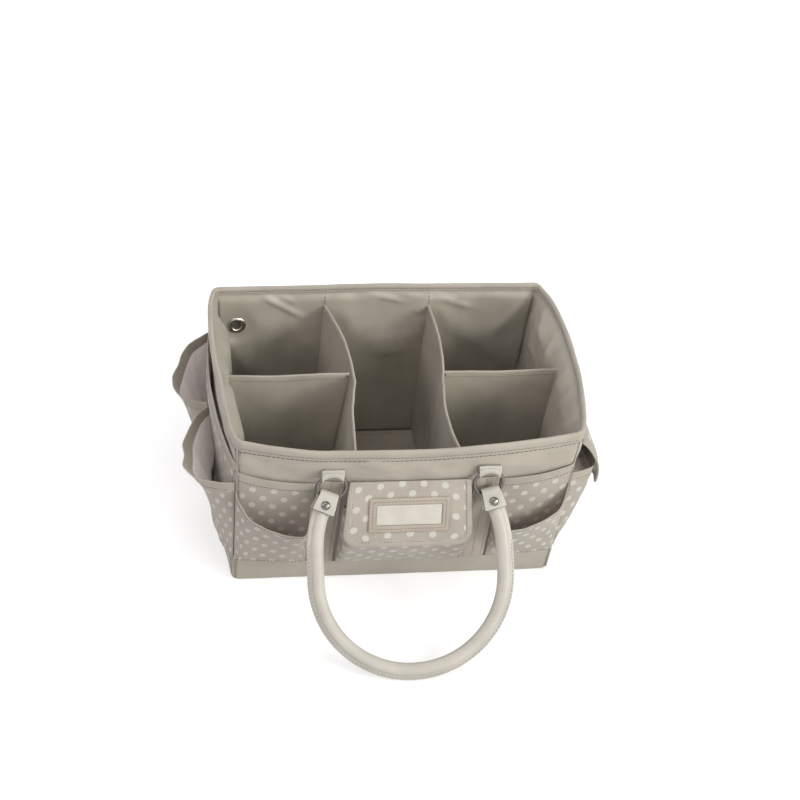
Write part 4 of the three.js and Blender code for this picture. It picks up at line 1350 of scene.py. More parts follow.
class OBJECT_OT_organizer_bag_dividers(bpy.types.Operator):
    """Two long dividers and two cross dividers, with folded tops and corner tacks"""
    bl_idname = "organizer_bag.dividers"
    bl_label = "Dividers"

    def execute(self, context):
        rows = []
        for side, sign in SIDES:
            self.divider(side + "_long_divider", self.long_point(side), rows, 72)
            self.divider(side + "_cross_divider", self.cross_point(side, sign), rows, 44)
        sew("divider_stitches", rows, "bag", "lining_cloth")
        self.tacks()
        seams = []
        for x in (-DIVIDER_EDGE, DIVIDER_EDGE):
            def seam(t, rise, x=x):
                z = lerp(DIVIDER_TOP + 1, 203, t)
                return beside(WALLS["back"], x + rise, lining_out(WALLS["back"], x, z) - 0.1, z)
            seams.append((seam, 8))
        sew("lining_seams", seams, "bag", "lining_cloth", "seam_thread")
        return {"FINISHED"}

    def long_point(self, side):
        def at(u, v):
            low = smooth(v, 0, 0.15)
            top = DIVIDER_TOP + 0.6 * ripple(31, u * 160, 0, 40)
            z = lerp(DIVIDER_FOOT, top, v)
            x = divider_x(side, u, z)
            ends = smooth(min(u, 1 - u), 0, 0.12)
            wave = 1.5 * ripple(32 + ord(side[0]), u * 230, z, 48) + 0.4 * ripple(33, u * 230, z, 15)
            x += ends * low * wave
            middle = math.exp(-((u - 0.5) / 0.03) ** 2)
            x += (-1.2 if side == "right" else 1.0) * middle * smooth(v, 0, 0.5)
            back = WALLS["back"].reach(x, z) - DIVIDER_GAP
            front = WALLS["front"].reach(x, z) - DIVIDER_GAP
            return Vector((x, lerp(-front, back, u), z))
        return at

    def cross_point(self, side, sign):
        def at(u, v):
            dip = 1.8 * math.sin(math.pi * u)
            top = DIVIDER_TOP - 1.0 - dip * 0.8
            z = lerp(DIVIDER_FOOT, top, v)
            outer = WALLS[side].reach(0, z) - DIVIDER_GAP
            inner = abs(divider_x(side, 0.5, z)) + 2.0
            share = u if sign < 0 else 1 - u
            x = sign * lerp(outer, inner, share)
            ends = smooth(min(u, 1 - u), 0, 0.15)
            y = ends * smooth(v, 0, 0.2) * (2.0 * ripple(36 + sign, x, z, 55) + 0.4 * ripple(35, x, z, 14))
            return Vector((x, y + CROSS_LEAN * v, z))
        return at

    def divider(self, name, at, rows, columns):
        """One divider's mesh, and its rows of stitches added to the others."""
        levels = [i / 30 * 0.955 for i in range(30)] + [0.955, DIVIDER_HEM, 0.968, 0.98, 0.992, 1.0]
        count = len(levels) - 1
        piece = grid(name + "_cloth", columns, count, lambda i, j: at(i / columns, levels[j]))
        wear(piece, "lining_satin", "binding_cloth")
        mark(piece, columns, lambda column, row: row >= count - 2)
        thicken(piece, DIVIDER - 0.6, offset=0.0)
        round_off(piece)
        dress(piece, "bag", "lining_cloth", replaces=(name,))
        for side in (-1, 1):
            def line(t, rise, side=side):
                u = lerp(0.02, 0.98, t)
                here = at(u, DIVIDER_HEM)
                ahead = at(u + 0.005, DIVIDER_HEM)
                out = (ahead - here).cross(Vector((0, 0, 1))).normalized() * side
                return here + out * (DIVIDER / 2 - 0.3) + Vector((0, 0, side * rise))
            rows.append((line, 60))

    def tacks(self):
        """Thread tacks where the cross dividers are caught to the long ones."""
        rows = []
        for side, sign in SIDES:
            x = divider_x(side, 0.5, DIVIDER_TOP)
            for reach in (-1.2, 0, 1.2):
                for face in (-1, 1):
                    def bar(t, rise, x=x, reach=reach, face=face, sign=sign):
                        spot = Vector((x + sign * lerp(1.4, 7.5, t), CROSS_LEAN + face * 1.7,
                                       DIVIDER_TOP - 5 + reach))
                        return spot + Vector((0, 0, rise))
                    rows.append((bar, 6))
        sew("divider_tacks", rows, "bag", "lining_cloth", "seam_thread")


class OBJECT_OT_organizer_bag_front_pockets(bpy.types.Operator):
    """Flat pockets and low pockets beside the straps"""
    bl_idname = "organizer_bag.front_pockets"
    bl_label = "Front pockets"

    def execute(self, context):
        rows = []
        for side, sign in SIDES:
            flat = front_flat(sign)
            low = front_low(sign)
            pocket_piece("front_%s_flat_pocket" % side, flat, 44, 30, offset=(0.004, 0.0))
            pocket_piece("front_%s_low_pocket" % side, low, 56, 30, offset=(0.011, 0.003))
            rows += [flat.row(flat.hem - 1.6), low.row(3.2), low.foot_row()]
        sew("front_pocket_stitches", rows, "bag", "dotted_cloth")
        return {"FINISHED"}


def under_flap(z):
    return FLAP_SEAT + (FLAP_TOP - z) * math.tan(FLAP_TILT)


def pouch_front(z):
    lip = under_flap(max(z, POUCH_BULGE)) - CLOSURE_ROOM
    share = min(1, (z - SEWN) / (POUCH_BULGE - SEWN))
    return lerp(WALLS["front"].reach(0, z) + SEWN_ON, lip, share ** 0.85)


def flap_point(x, out, down):
    """A point of the flap: across, out from its inner face, and down from its seam."""
    y = -FLAP_SEAT - out * math.cos(FLAP_TILT) - down * math.sin(FLAP_TILT)
    z = FLAP_TOP + out * math.sin(FLAP_TILT) - down * math.cos(FLAP_TILT)
    return Vector((x, y, z))


def flap_edge(t, inset=0.0):
    """The flap's outline from its left seam end round to its right one, as across and down."""
    half, foot, radius = FLAP_HALF - inset, FLAP_LENGTH - inset, max(1.0, FLAP_CORNER - inset)
    wide = half + FLAP_SPLAY
    side = foot - radius
    bend = radius * math.pi / 2
    bottom = 2 * (wide - radius)
    whole = 2 * side + 2 * bend + bottom
    run = t * whole
    mirrored = run > whole / 2
    if mirrored:
        run = whole - run
    if run < side:
        x, down = -lerp(half, wide, run / side), run
    elif run < side + bend:
        turn = (run - side) / radius
        x, down = -(wide - radius + radius * math.cos(turn)), side + radius * math.sin(turn)
    else:
        x, down = -(wide - radius) + (run - side - bend), foot
    return (-x if mirrored else x), down


class OBJECT_OT_organizer_bag_middle_pocket(bpy.types.Operator):
    """Middle pocket with its gussets, and the loop patch on it"""
    bl_idname = "organizer_bag.middle_pocket"
    bl_label = "Middle pocket"

    def execute(self, context):
        gusset, turn, face = 6, 4, 30
        columns = 2 * gusset + 2 * turn + face
        count = 26

        def place(i, j):
            z = lerp(SEWN, POUCH_TOP, j / count)
            sewn = WALLS["front"].reach(POUCH_HALF, z) + 0.9
            front = pouch_front(z)
            radius = min(4.0, max(0.1, (front - sewn) * 0.45))
            mirrored = i > columns / 2
            k = columns - i if mirrored else i
            rise = (z - SEWN) / (POUCH_TOP - SEWN)
            if k < gusset:
                share = k / gusset
                fold = 4.5 * math.sin(math.pi * share) * rise
                x, y = -POUCH_HALF + fold, lerp(sewn, front - radius, share)
            elif k <= gusset + turn:
                angle = math.pi / 2 * (k - gusset) / turn
                x = -POUCH_HALF + radius * (1 - math.cos(angle))
                y = front - radius + radius * math.sin(angle)
            else:
                share = (k - gusset - turn) / face
                x = lerp(-POUCH_HALF + radius, POUCH_HALF - radius, share)
                pull = math.exp(-(z - SEWN) / 9) * 0.7 * ripple(41, x if not mirrored else -x, z * 0.3, 6)
                slack = 1.0 * ripple(42, x, z, 30) * smooth(z, SEWN, 60) * smooth(118 - z, 0, 20)
                y = front + (pull + min(0.4, slack)) * math.sin(math.pi * share)
            return Vector((-x if mirrored else x, -y, z))

        piece = grid("front_middle_pocket_cloth", columns, count, place, offset=(0.006, 0.002))
        wear(piece, *POCKET_CLOTHS)
        mark(piece, columns, lambda column, row: row >= count - 1)
        thicken(piece, FABRIC - 0.1, inside=2)
        round_off(piece)
        dress(piece, "bag", "dotted_cloth", replaces=("front_middle_pocket",))
        fastener_patch("pocket_loop_cloth", "pocket_loop_patch", -2.6, "bag")
        return {"FINISHED"}


def fastener_patch(name, node, out, body):
    """A patch of the closure, so far out from the flap's inner face."""
    columns, rows = 24, 8

    def place(i, j):
        x = lerp(-PATCH_HALF, PATCH_HALF, i / columns)
        down = lerp(PATCH_FOOT, PATCH_TOP, j / rows)
        return flap_point(x, out + 1 + 0.05 * ripple(44, x, down, 2), down)

    piece = grid(name, columns, rows, place)
    thicken(piece, 0.9)
    ease_edges(piece, 0.0002)
    dress(piece, body, "fastener", "fastener_loops", replaces=(node,))


# Section of the flap's binding: across from the middle of its width, and out from the flap's inner face
EDGING_SECTION = [(-3.6, 0.9), (-3.75, 2.2), (-3.0, 3.55), (-1.2, 4.05), (0.9, 3.85), (2.2, 3.3),
                  (3.1, 3.45), (3.7, 2.9), (3.7, 1.0), (3.0, 0.15), (0, 0.05), (-2.8, 0.15)]


class OBJECT_OT_organizer_bag_front_flap(bpy.types.Operator):
    """Padded flap over the middle pocket, its bound edge and its stitches"""
    bl_idname = "organizer_bag.front_flap"
    bl_label = "Front flap"

    def execute(self, context):
        self.pad()
        self.edging()

        def row(t, rise):
            x, down = flap_edge(lerp(0.01, 0.99, t), FLAP_EDGE - 1.5 + rise)
            return flap_point(x, 3.35, down)

        sew("front_flap_stitches", [(row, 150)], "front_flap", "binding_cloth", "seam_thread", length=2.4)
        fastener_patch("flap_hook_cloth", "flap_hook_patch", -1.3, "front_flap")
        return {"FINISHED"}

    def pad(self):
        """The padded cloth, full in its middle, flat under the label and rounded at its lower corners."""
        inset = 3.0
        half, foot, radius = FLAP_HALF - inset, FLAP_LENGTH - inset, FLAP_CORNER - inset
        side = foot - radius
        downs = [side * j / 20 for j in range(21)]
        downs += [side + radius * math.sin(math.pi / 20 * k) for k in range(1, 11)]
        downs.reverse()
        columns = 44

        def place(i, j):
            down = downs[j]
            past = clamp((down - side) / radius)
            wide = lerp(half, half + FLAP_SPLAY, min(1, down / side))
            width = wide - radius + radius * math.sqrt(max(0.0, 1 - past * past)) if past > 0 else wide
            width = max(width, wide - radius + 0.4)
            x = lerp(-width, width, i / columns)
            edge = min(width - abs(x), foot - down)
            crown = 1.0 - math.exp(-max(0, edge) / 7)
            soft = 0.35 * ripple(51, x, down, 26)
            label = math.exp(-(max(0, abs(x) - 40) ** 2 + max(0, abs(down - LABEL_DROP) - 17) ** 2) / 60)
            return flap_point(x, 2.55 + 0.75 * crown * (1 - 0.7 * label) + soft * crown * (1 - label), down)

        piece = grid("front_flap_cloth", columns, len(downs) - 1, place, lip=1.0, offset=(0.0040, 0.0052))
        wear(piece, "dotted_cloth", "facing_cloth")
        thicken(piece, 2.3, inside=1)
        round_off(piece)
        dress(piece, "front_flap", "dotted_cloth", replaces=("front_flap",))

    def edging(self):
        """The binding round the flap's edge."""
        steps = 150
        path = [flap_edge(k / steps, FLAP_EDGE / 2) for k in range(steps + 1)]

        def section(k):
            x, down = path[k]
            ahead = path[min(steps, k + 1)]
            behind = path[max(0, k - 1)]
            way = Vector((ahead[0] - behind[0], ahead[1] - behind[1])).normalized()
            side = Vector((-way.y, way.x))
            ring = []
            for a, b in EDGING_SECTION:
                pull = 0.12 * math.sin(k * 0.9) if 2 < a < 3.4 and b > 3 else 0
                soft = 0.18 * ripple(53, k * 2, a, 9) if b > 2 else 0
                ring.append(flap_point(x + side.x * a, b + pull + soft, down + side.y * a))
            return ring

        edging = sweep("front_flap_edging_cloth", path, section)
        round_off(edging)
        dress(edging, "front_flap", "binding_cloth", "binding_cloth", replaces=("front_flap_edging",))


def rounded_outline(count, half_x, half_y, radius):
    """Points round a rectangle with rounded corners, as many on each side and corner whatever its size."""
    per_side, per_corner = count
    points = []
    corners = ((1, -1, -math.pi / 2), (1, 1, 0), (-1, 1, math.pi / 2), (-1, -1, math.pi))
    for (sx, sy, turn), (nx, ny, _) in zip(corners, corners[1:] + corners[:1]):
        cx, cy = sx * (half_x - radius), sy * (half_y - radius)
        for k in range(per_corner + 1):
            angle = turn + math.pi / 2 * k / per_corner
            points.append((cx + radius * math.cos(angle), cy + radius * math.sin(angle)))
        last = points[-1]
        angle = turn + math.pi / 2
        goal = (nx * (half_x - radius) + radius * math.cos(angle),
                ny * (half_y - radius) + radius * math.sin(angle))
        points += [(lerp(last[0], goal[0], k / per_side), lerp(last[1], goal[1], k / per_side))
                   for k in range(1, per_side)]
    return points


# Section of the label's frame: how much wider than its opening, and how high
FRAME_SECTION = [(0.0, 0.1), (-0.05, 0.9), (0.3, 1.45), (1.6, 1.75), (3.3, 1.7), (4.0, 1.5), (4.7, 1.7),
                 (6.4, 1.75), (7.6, 1.45), (8.0, 0.8), (7.9, 0.1)]


class OBJECT_OT_organizer_bag_label(bpy.types.Operator):
    """Leather frame on the flap and the bare plate inside it"""
    bl_idname = "organizer_bag.label"
    bl_label = "Label"

    def execute(self, context):
        rings = []
        for width, height in FRAME_SECTION:
            points = rounded_outline((14, 4), LABEL_HALF_X + width, LABEL_HALF_Y + width,
                                     0.5 + 0.16 * max(0, width))
            rings.append([flap_point(x, LABEL_OUT + height, LABEL_DROP - y) for x, y in points])
        count = len(rings[0])
        rows = len(rings)

        def place(i, j):
            return rings[j % rows][i % count]

        piece = grid("label_frame_leather", count, rows, place)
        edit(piece, weld, outward)
        round_off(piece)
        dress(piece, "front_flap", "label_frame", "label_leather", replaces=("label_frame",))

        stitches = frame_rows(LABEL_HALF_X + LABEL_STITCH, LABEL_HALF_Y + LABEL_STITCH, 20,
                              lambda x, y: flap_point(x, LABEL_OUT + 1.5, LABEL_DROP - y))
        sew("label_stitches", stitches, "front_flap", "label_frame", "label_thread", length=2.6)

        def bare(i, j):
            across, up = i / 40 * 2 - 1, j / 16 * 2 - 1
            pillow = 0.12 * (1 - across ** 4) * (1 - up ** 4)
            return flap_point(35.2 * across, LABEL_OUT + 0.78 + pillow, LABEL_DROP - 11.7 * up)

        bare_plate = grid("label_plate_bare", 40, 16, bare)
        thicken(bare_plate, 0.75)
        ease_edges(bare_plate, 0.0002)
        dress(bare_plate, "front_flap", "label_plate", "plate_satin", replaces=("label_plate",))
        return {"FINISHED"}


class OBJECT_OT_organizer_bag_straps(bpy.types.Operator):
    """Four plain straps sewn up the walls, with their rows of stitches"""
    bl_idname = "organizer_bag.straps"
    bl_label = "Straps"

    def execute(self, context):
        rows = []
        for face in ("front", "back"):
            for side, sign in SIDES:
                inner = sign * (HANDLE_SPACING - STRAP_WIDTH) / 2
                outer = sign * (HANDLE_SPACING + STRAP_WIDTH) / 2

                def out(u, z):
                    ribs = -0.35 * sum(math.exp(-((u - line) / 0.03) ** 2) for line in STRAP_ROWS)
                    return STRAP_OUT + ribs + 0.15

                strap = Pocket(face, lambda z, inner=inner: inner, lambda z, outer=outer: outer,
                               lambda u: STRAP_TOP, out, pucker=0.25, seed=60 + sign)
                name = "_".join((face, side, "strap"))
                piece = grid(name + "_cloth", 28, 40, strap.place(28, 40))
                thicken(piece, 1.3)
                round_off(piece)
                dress(piece, "bag", "plain_cloth", "plain_cloth", replaces=(name,))
                rows += [strap.upright(line, SEWN + 1, STRAP_TOP - 1, 40) for line in STRAP_ROWS]
        sew("strap_stitches", rows, "bag", "plain_cloth", lift=0.05)
        return {"FINISHED"}


def hung(face, x, out, z):
    """A point of a hanging part: across, out from the seat of the tabs on that side, and up."""
    if face == "front":
        return Vector((x, -FRONT_SEAT - out, z))
    return Vector((-x, BACK_SEAT + out, z))


def handle_point(face, x, out, down):
    """A point of a handle in its own plane: across, out of it, and down from its hinge."""
    lean = HANDLE_LEAN
    away = HANDLE_HINGE_OUT + out * math.cos(lean) + down * math.sin(lean)
    up = HANDLE_HINGE_UP + out * math.sin(lean) - down * math.cos(lean)
    return hung(face, x, away, up)


def wire_drop(across):
    """How far the ring's wire lies below its top, at a place across it."""
    return RING_REACH - math.sqrt(RING_REACH ** 2 - across ** 2)


def tab_front(across, share):
    """The tab's front layer from the ring's wire, at 0, up to its seam, at 1, as out and up."""
    drop = wire_drop(across)
    low = RING_TOP - drop * math.cos(RING_LEAN)
    out = RING_OUT + drop * math.sin(RING_LEAN) + TAB_LOOP
    return lerp(2.1, out, 1 - share ** 2.2), lerp(low, TAB_TOP - 0.3, share)


def tab_path(across):
    """The middle of the tab's strip as it loops round the ring's wire, as out and up."""
    out, low = tab_front(across, 0)
    middle = out - TAB_LOOP
    path = [(0.75, TAB_TOP - 0.3), (0.7, lerp(TAB_TOP, low, 0.35)), (0.65, lerp(TAB_TOP, low, 0.7)),
            (0.65, low)]
    for k in range(1, 12):
        turn = math.pi * (1 + k / 12)
        reach = middle - 0.65 if k < 6 else TAB_LOOP
        path.append((middle + reach * math.cos(turn), low + TAB_LOOP * math.sin(turn)))
    return path + [tab_front(across, share) for share in (0, 0.2, 0.4, 0.58, 0.74, 0.87, 1.0)]


class OBJECT_OT_organizer_bag_rings(bpy.types.Operator):
    """Leather tabs looped round the metal rings"""
    bl_idname = "organizer_bag.rings"
    bl_label = "Tabs and rings"

    def execute(self, context):
        for face in ("front", "back"):
            rows = []
            for sign in (-1, 1):
                name = end_name(face, sign)
                self.tab(face, name, sign * HANDLE_SPACING / 2, rows)
                self.ring(face, name, sign * HANDLE_SPACING / 2)
            sew(face + "_tab_stitches", rows, face + "_rings", "cream_leather", "leather_thread")
        return {"FINISHED"}

    def tab(self, face, name, middle, rows):
        columns = 20
        paths = [tab_path(lerp(-TAB_WIDTH / 2, TAB_WIDTH / 2, i / columns)) for i in range(columns + 1)]
        last = len(paths[0]) - 1

        def place(i, j):
            across = lerp(-TAB_WIDTH / 2, TAB_WIDTH / 2, i / columns)
            pinch = 1 - 0.05 * math.sin(math.pi * j / last)
            wrinkle = 0.35 * ripple(65, middle + across, j * 1.5, 5) * math.sin(math.pi * j / last)
            out, up = paths[i][j]
            return hung(face, middle + across * pinch, out + max(-0.1, wrinkle), up)

        piece = grid(name + "_tab_leather", columns, last, place)
        wear(piece, "cream_leather", "raw_edge")
        thicken(piece, TAB, offset=0.0, rim=1)
        round_off(piece)
        dress(piece, face + "_rings", "cream_leather", replaces=(name + "_tab",))

        def seam(t, rise):
            across = lerp(-11, 11, t)
            out, up = tab_front(across, 0.72)
            return hung(face, middle + across, out + TAB / 2 + 0.1, up + rise)

        rows.append((seam, 14))

    def ring(self, face, name, middle):
        pick()
        bpy.ops.mesh.primitive_torus_add(major_segments=96, minor_segments=20, major_radius=RING_REACH,
                                         minor_radius=RING_WIRE / 2)
        piece = bpy.context.object
        piece.name = name + "_ring_wire"
        out = RING_OUT + RING_REACH * math.sin(RING_LEAN)
        up = RING_TOP - RING_REACH * math.cos(RING_LEAN)
        for vertex in piece.data.vertices:
            x, y, thick = vertex.co
            weld_spot = math.exp(-((x + RING_REACH) ** 2 + (y - 3) ** 2) / 2.2)
            thick *= 1 + 0.06 * weld_spot
            lean_out = out - y * math.sin(RING_LEAN) + thick * math.cos(RING_LEAN)
            lean_up = up + y * math.cos(RING_LEAN) + thick * math.sin(RING_LEAN)
            vertex.co = hung(face, middle + x, lean_out, lean_up) * MM
        edit(piece, outward)
        dress(piece, face + "_rings", "nickel", "nickel_plating", replaces=(name + "_ring",))


def end_name(face, x):
    """Left and right as seen from outside the bag."""
    outer = x < 0 if face == "front" else x > 0
    return face + ("_left" if outer else "_right")


def swung(name, x, down):
    """A point of a handle's end turned about its ring's foot."""
    sign = -1 if x < 0 else 1
    angle = math.radians(END_SWING[name])
    across = abs(x) - HANDLE_SPACING / 2
    drop = down - SWING_PIVOT
    return (sign * (HANDLE_SPACING / 2 + END_SHIFT + across * math.cos(angle) + drop * math.sin(angle)),
            SWING_PIVOT + drop * math.cos(angle) - across * math.sin(angle))


def handle_line(face, steps):
    """The handle's middle line: across and down."""
    wide = HANDLE_SPAN / 2

    def leg(sign, down):
        start, foot = swung(end_name(face, sign), sign * HANDLE_SPACING / 2, HANDLE_START)
        slope = math.tan(math.radians(END_SWING[end_name(face, sign)]))
        share = (down - foot) / (HANDLE_SHOULDER - foot)
        near = abs(start)
        bend = (1 - share) ** 2 * share * slope * 0.8 * (HANDLE_SHOULDER - foot)
        return sign * (lerp(near, wide, math.sin(math.pi / 2 * share)) + bend)

    legs = 26
    downs = [lerp(HANDLE_START, HANDLE_SHOULDER, k / legs) for k in range(legs)]
    line = [(leg(-1, down), down) for down in downs]
    depth = HANDLE_DROP - HANDLE_SHOULDER
    bend = [(-wide * math.cos(math.pi * k / steps), HANDLE_SHOULDER + depth * math.sin(math.pi * k / steps))
            for k in range(steps + 1)]
    return line + bend + [(leg(1, down), down) for down in reversed(downs)]


# Section of the handle: across (outer edge positive) and out of its plane, a round core and a flat sewn edge,
# and how full of it the handle is made
HANDLE_FULL = 0.985
HANDLE_SECTION = [(9.4, 0.3), (9.2, 1.5), (8.3, 2.6), (6.8, 2.9), (5.6, 3.1), (4.9, 3.6), (4.0, 5.0),
                  (2.4, 6.0), (0.2, 6.5), (-2.4, 6.4), (-5.0, 5.5), (-7.4, 3.9), (-8.9, 2.0), (-9.4, 0),
                  (-8.9, -2.0), (-7.4, -3.9), (-5.0, -5.5), (-2.4, -6.4), (0.2, -6.5), (2.4, -6.0),
                  (4.2, -4.9), (5.6, -3.5), (7.2, -2.9), (8.6, -2.2), (9.3, -0.9)]


class OBJECT_OT_organizer_bag_handles(bpy.types.Operator):
    """Two rolled leather handles with their sewn edge, end wraps and rivets"""
    bl_idname = "organizer_bag.handles"
    bl_label = "Handles"

    def execute(self, context):
        for face in ("front", "back"):
            self.handle(face)
            for sign in (-1, 1):
                self.wrap(face, end_name(face, sign), sign * HANDLE_SPACING / 2)
                self.rivet(face, end_name(face, sign), sign * HANDLE_SPACING / 2)
        return {"FINISHED"}

    def handle(self, face):
        line = handle_line(face, 90)
        last = len(line) - 1

        def heading(k):
            ahead, behind = line[min(last, k + 1)], line[max(0, k - 1)]
            way = Vector((ahead[0] - behind[0], ahead[1] - behind[1])).normalized()
            return Vector((-way.y, way.x))

        def section(k):
            x, down = line[k]
            side = heading(k)
            pinch = lerp(0.8, 1, smooth(min(k, last - k), 0, 8))
            ring = []
            for a, b in HANDLE_SECTION:
                inner = clamp(-a / 9)
                fine = 0.16 * math.sin(k * 1.7) * inner * smooth(min(k, last - k), 30, 55)
                soft = 0.28 * ripple(71, k * 2.4, a * 1.5 + b, 13)
                width = a * (1 + 0.01 * ripple(72, k * 2.4, 0, 30))
                out = (b + (fine + soft) * clamp(abs(b) / 3)) * pinch * HANDLE_FULL
                ring.append(handle_point(face, x + side.x * width * HANDLE_FULL, out,
                                         down + side.y * width * HANDLE_FULL))
            return ring

        piece = sweep(face + "_handle_leather", line, section)
        round_off(piece)
        dress(piece, face + "_handle", "cream_leather", "cream_leather", replaces=(face + "_handle",))

        def row(height, way):
            def at(t, rise):
                place = lerp(14, last - 14, t)
                k = min(last - 1, int(place))
                x, down = (lerp(line[k][n], line[k + 1][n], place - k) for n in (0, 1))
                side = heading(k).lerp(heading(k + 1), place - k)
                a = 6.9 + rise * way
                return handle_point(face, x + side.x * a, height, down + side.y * a)
            return at, 200

        sew(face + "_handle_stitches", [row(2.75, -1), row(-2.75, 1)], face + "_handle", "cream_leather",
            "leather_thread", length=3.0)

    def wrap(self, face, name, middle):
        leg = [(6.3, 3.5), (6.95, 7), (WRAP_FOOT - 0.3, 10), (WRAP_FOOT, 14),
               (WRAP_FOOT + 0.5, WRAP_LENGTH + 2)]
        turns = [math.pi * k / 14 for k in range(15)]
        eye = [(-WRAP_EYE * math.cos(turn), -WRAP_EYE * math.sin(turn)) for turn in turns]
        path = [(-out, down) for out, down in reversed(leg)] + eye + leg
        columns = 18

        def place(i, j):
            across = lerp(-WRAP_WIDTH / 2, WRAP_WIDTH / 2, i / columns)
            out, down = path[j]
            curl = 0.5 * (abs(across) / 11) ** 3 * smooth(down, 6, 16)
            across *= lerp(0.92, 1.1, smooth(down, -5, 18))
            x, drop = swung(name, middle + across, down)
            return handle_point(face, x, out - math.copysign(curl, out), drop)

        piece = grid(name + "_wrap_leather", columns, len(path) - 1, place)
        wear(piece, "cream_leather", "raw_edge")
        thicken(piece, WRAP, offset=0.0, rim=1)
        round_off(piece)
        dress(piece, face + "_handle", "cream_leather", replaces=(name + "_wrap",))

    def rivet(self, face, name, middle):
        profile = [(0.01, 2.4), (1.6, 2.32), (3.0, 2.0), (4.1, 1.35), (4.65, 0.75), (4.8, 0.4), (4.7, 0.1),
                   (4.3, 0.0), (2.0, 0.0), (0.01, 0.0)]
        turns = 32

        def place(i, j):
            radius, height = profile[j]
            angle = 2 * math.pi * i / turns
            out = WRAP_FOOT + 0.85 + height
            x, drop = swung(name, middle + radius * math.cos(angle), RIVET_DOWN + radius * math.sin(angle))
            return handle_point(face, x, out, drop)

        piece = grid(name + "_rivet_cap", turns, len(profile) - 1, place)
        edit(piece, weld, close_ends, outward)
        round_off(piece)
        dress(piece, face + "_handle", "nickel", "nickel_plating", replaces=(name + "_rivet",))


class OBJECT_OT_organizer_bag_left_pockets(bpy.types.Operator):
    """Tall pocket and two bellows pockets on the left"""
    bl_idname = "organizer_bag.left_pockets"
    bl_label = "Left pockets"

    def execute(self, context):
        def hug(u, z):
            return tall_out(u, z) * lerp(1, 0.5, smooth(z, 148, 176))

        tall = Pocket("left", corner_side("left", -1), corner_side("left", 1), lambda u: TALL_TOP, hug,
                      hem=SIDE_HEM, seed=80)
        pocket_piece("left_tall_pocket", tall, 64, 34)
        rows = [tall.row(HEM_STITCH)]
        for side in ("rear", "front"):
            pouch = bellows(side)
            pocket_piece("left_%s_bellows_pocket" % side, pouch, 72, 40, offset=(0.003, 0.005))
            rows += [pouch.row(HEM_STITCH), pouch.foot_row()]
        sew("left_pocket_stitches", rows, "bag", "dotted_cloth")
        return {"FINISHED"}


class OBJECT_OT_organizer_bag_right_pockets(bpy.types.Operator):
    """Rear pocket, flap pocket and flap on the right"""
    bl_idname = "organizer_bag.right_pockets"
    bl_label = "Right pockets"

    def execute(self, context):
        rear = right_rear()
        pocket_piece("right_rear_pocket", rear, 40, 30)
        pouch = right_pouch()
        pocket_piece("right_flap_pocket", pouch, 60, 36, offset=(0.006, 0.0))
        rows = [rear.row(HEM_STITCH), pouch.row(HEM_STITCH), pouch.foot_row()]
        sew("right_pocket_stitches", rows, "bag", "dotted_cloth")
        self.flap()
        return {"FINISHED"}

    def flap(self):
        """The flap that hangs over the front half's pocket."""
        wall = WALLS["right"]
        columns, count = 56, 30
        border = 3

        def out(u, v):
            over = math.sin(min(1, 1.15 * (1 - v)) * math.pi / 2) ** 0.8
            return lerp(3.0, SEWN_ON + 2.1 + 1.2 * (flap_full(min(u, FLAP_PEAK)) - SEWN_ON), over)

        def point(u, v):
            ends = min(u, 1 - u) * SIDE_FLAP_WIDTH
            corner_lift = SIDE_FLAP_CORNER * (1 - math.sqrt(1 - clamp(1 - ends / SIDE_FLAP_CORNER) ** 2))
            z = lerp(SIDE_FLAP_FOOT + corner_lift, SIDE_FLAP_TOP, v)
            along = lerp(-MIDDLE_GAP, -(wall.end(z) - 6), u)
            edge = min(ends, z - SIDE_FLAP_FOOT - corner_lift)
            ridge = 0.5 * math.exp(-((edge - 4) / 3.2) ** 4)
            return beside(wall, along, out(u, v) + ridge + 0.3 * ripple(91, along, z, 22), z)

        def place(i, j):
            return point(1 - i / columns, j / count)

        piece = grid("right_flap_cloth", columns, count, place, offset=(0.004, 0.004))
        wear(piece, *POCKET_CLOTHS)
        mark(piece, columns, lambda column, row: column < 5 or column >= columns - border or row < border)
        thicken(piece, 2.2, inside=2)
        round_off(piece)
        dress(piece, "right_flap", "dotted_cloth", replaces=("right_flap",))

        def foot(t, rise):
            return point(1 - lerp(0.06, 0.94, t), 0.115 + rise / (SIDE_FLAP_TOP - SIDE_FLAP_FOOT))

        def front_end(t, rise):
            return point(0.94 + 0.008 * rise, lerp(0.98, 0.12, t))

        rows = [(foot, 60), (front_end, 30)]
        sew("right_flap_stitches", rows, "right_flap", "dotted_cloth", "seam_thread")


class OBJECT_OT_organizer_bag_back_pockets(bpy.types.Operator):
    """Three flat pockets on the back"""
    bl_idname = "organizer_bag.back_pockets"
    bl_label = "Back pockets"

    def execute(self, context):
        pieces = {
            "back_left_pocket": back_pocket(strap_side(-1), corner_side("back", -1), 95),
            "back_middle_pocket": back_pocket(lambda z: -BACK_MIDDLE_HALF, lambda z: BACK_MIDDLE_HALF, 96),
            "back_right_pocket": back_pocket(strap_side(1), corner_side("back", 1), 97),
        }
        rows = []
        for name, flat in pieces.items():
            columns = 64 if "middle" in name else 40
            pocket_piece(name, flat, columns, 30)
            rows += [flat.row(HEM_STITCH), flat.foot_row()]
        sew("back_pocket_stitches", rows, "bag", "dotted_cloth")
        return {"FINISHED"}


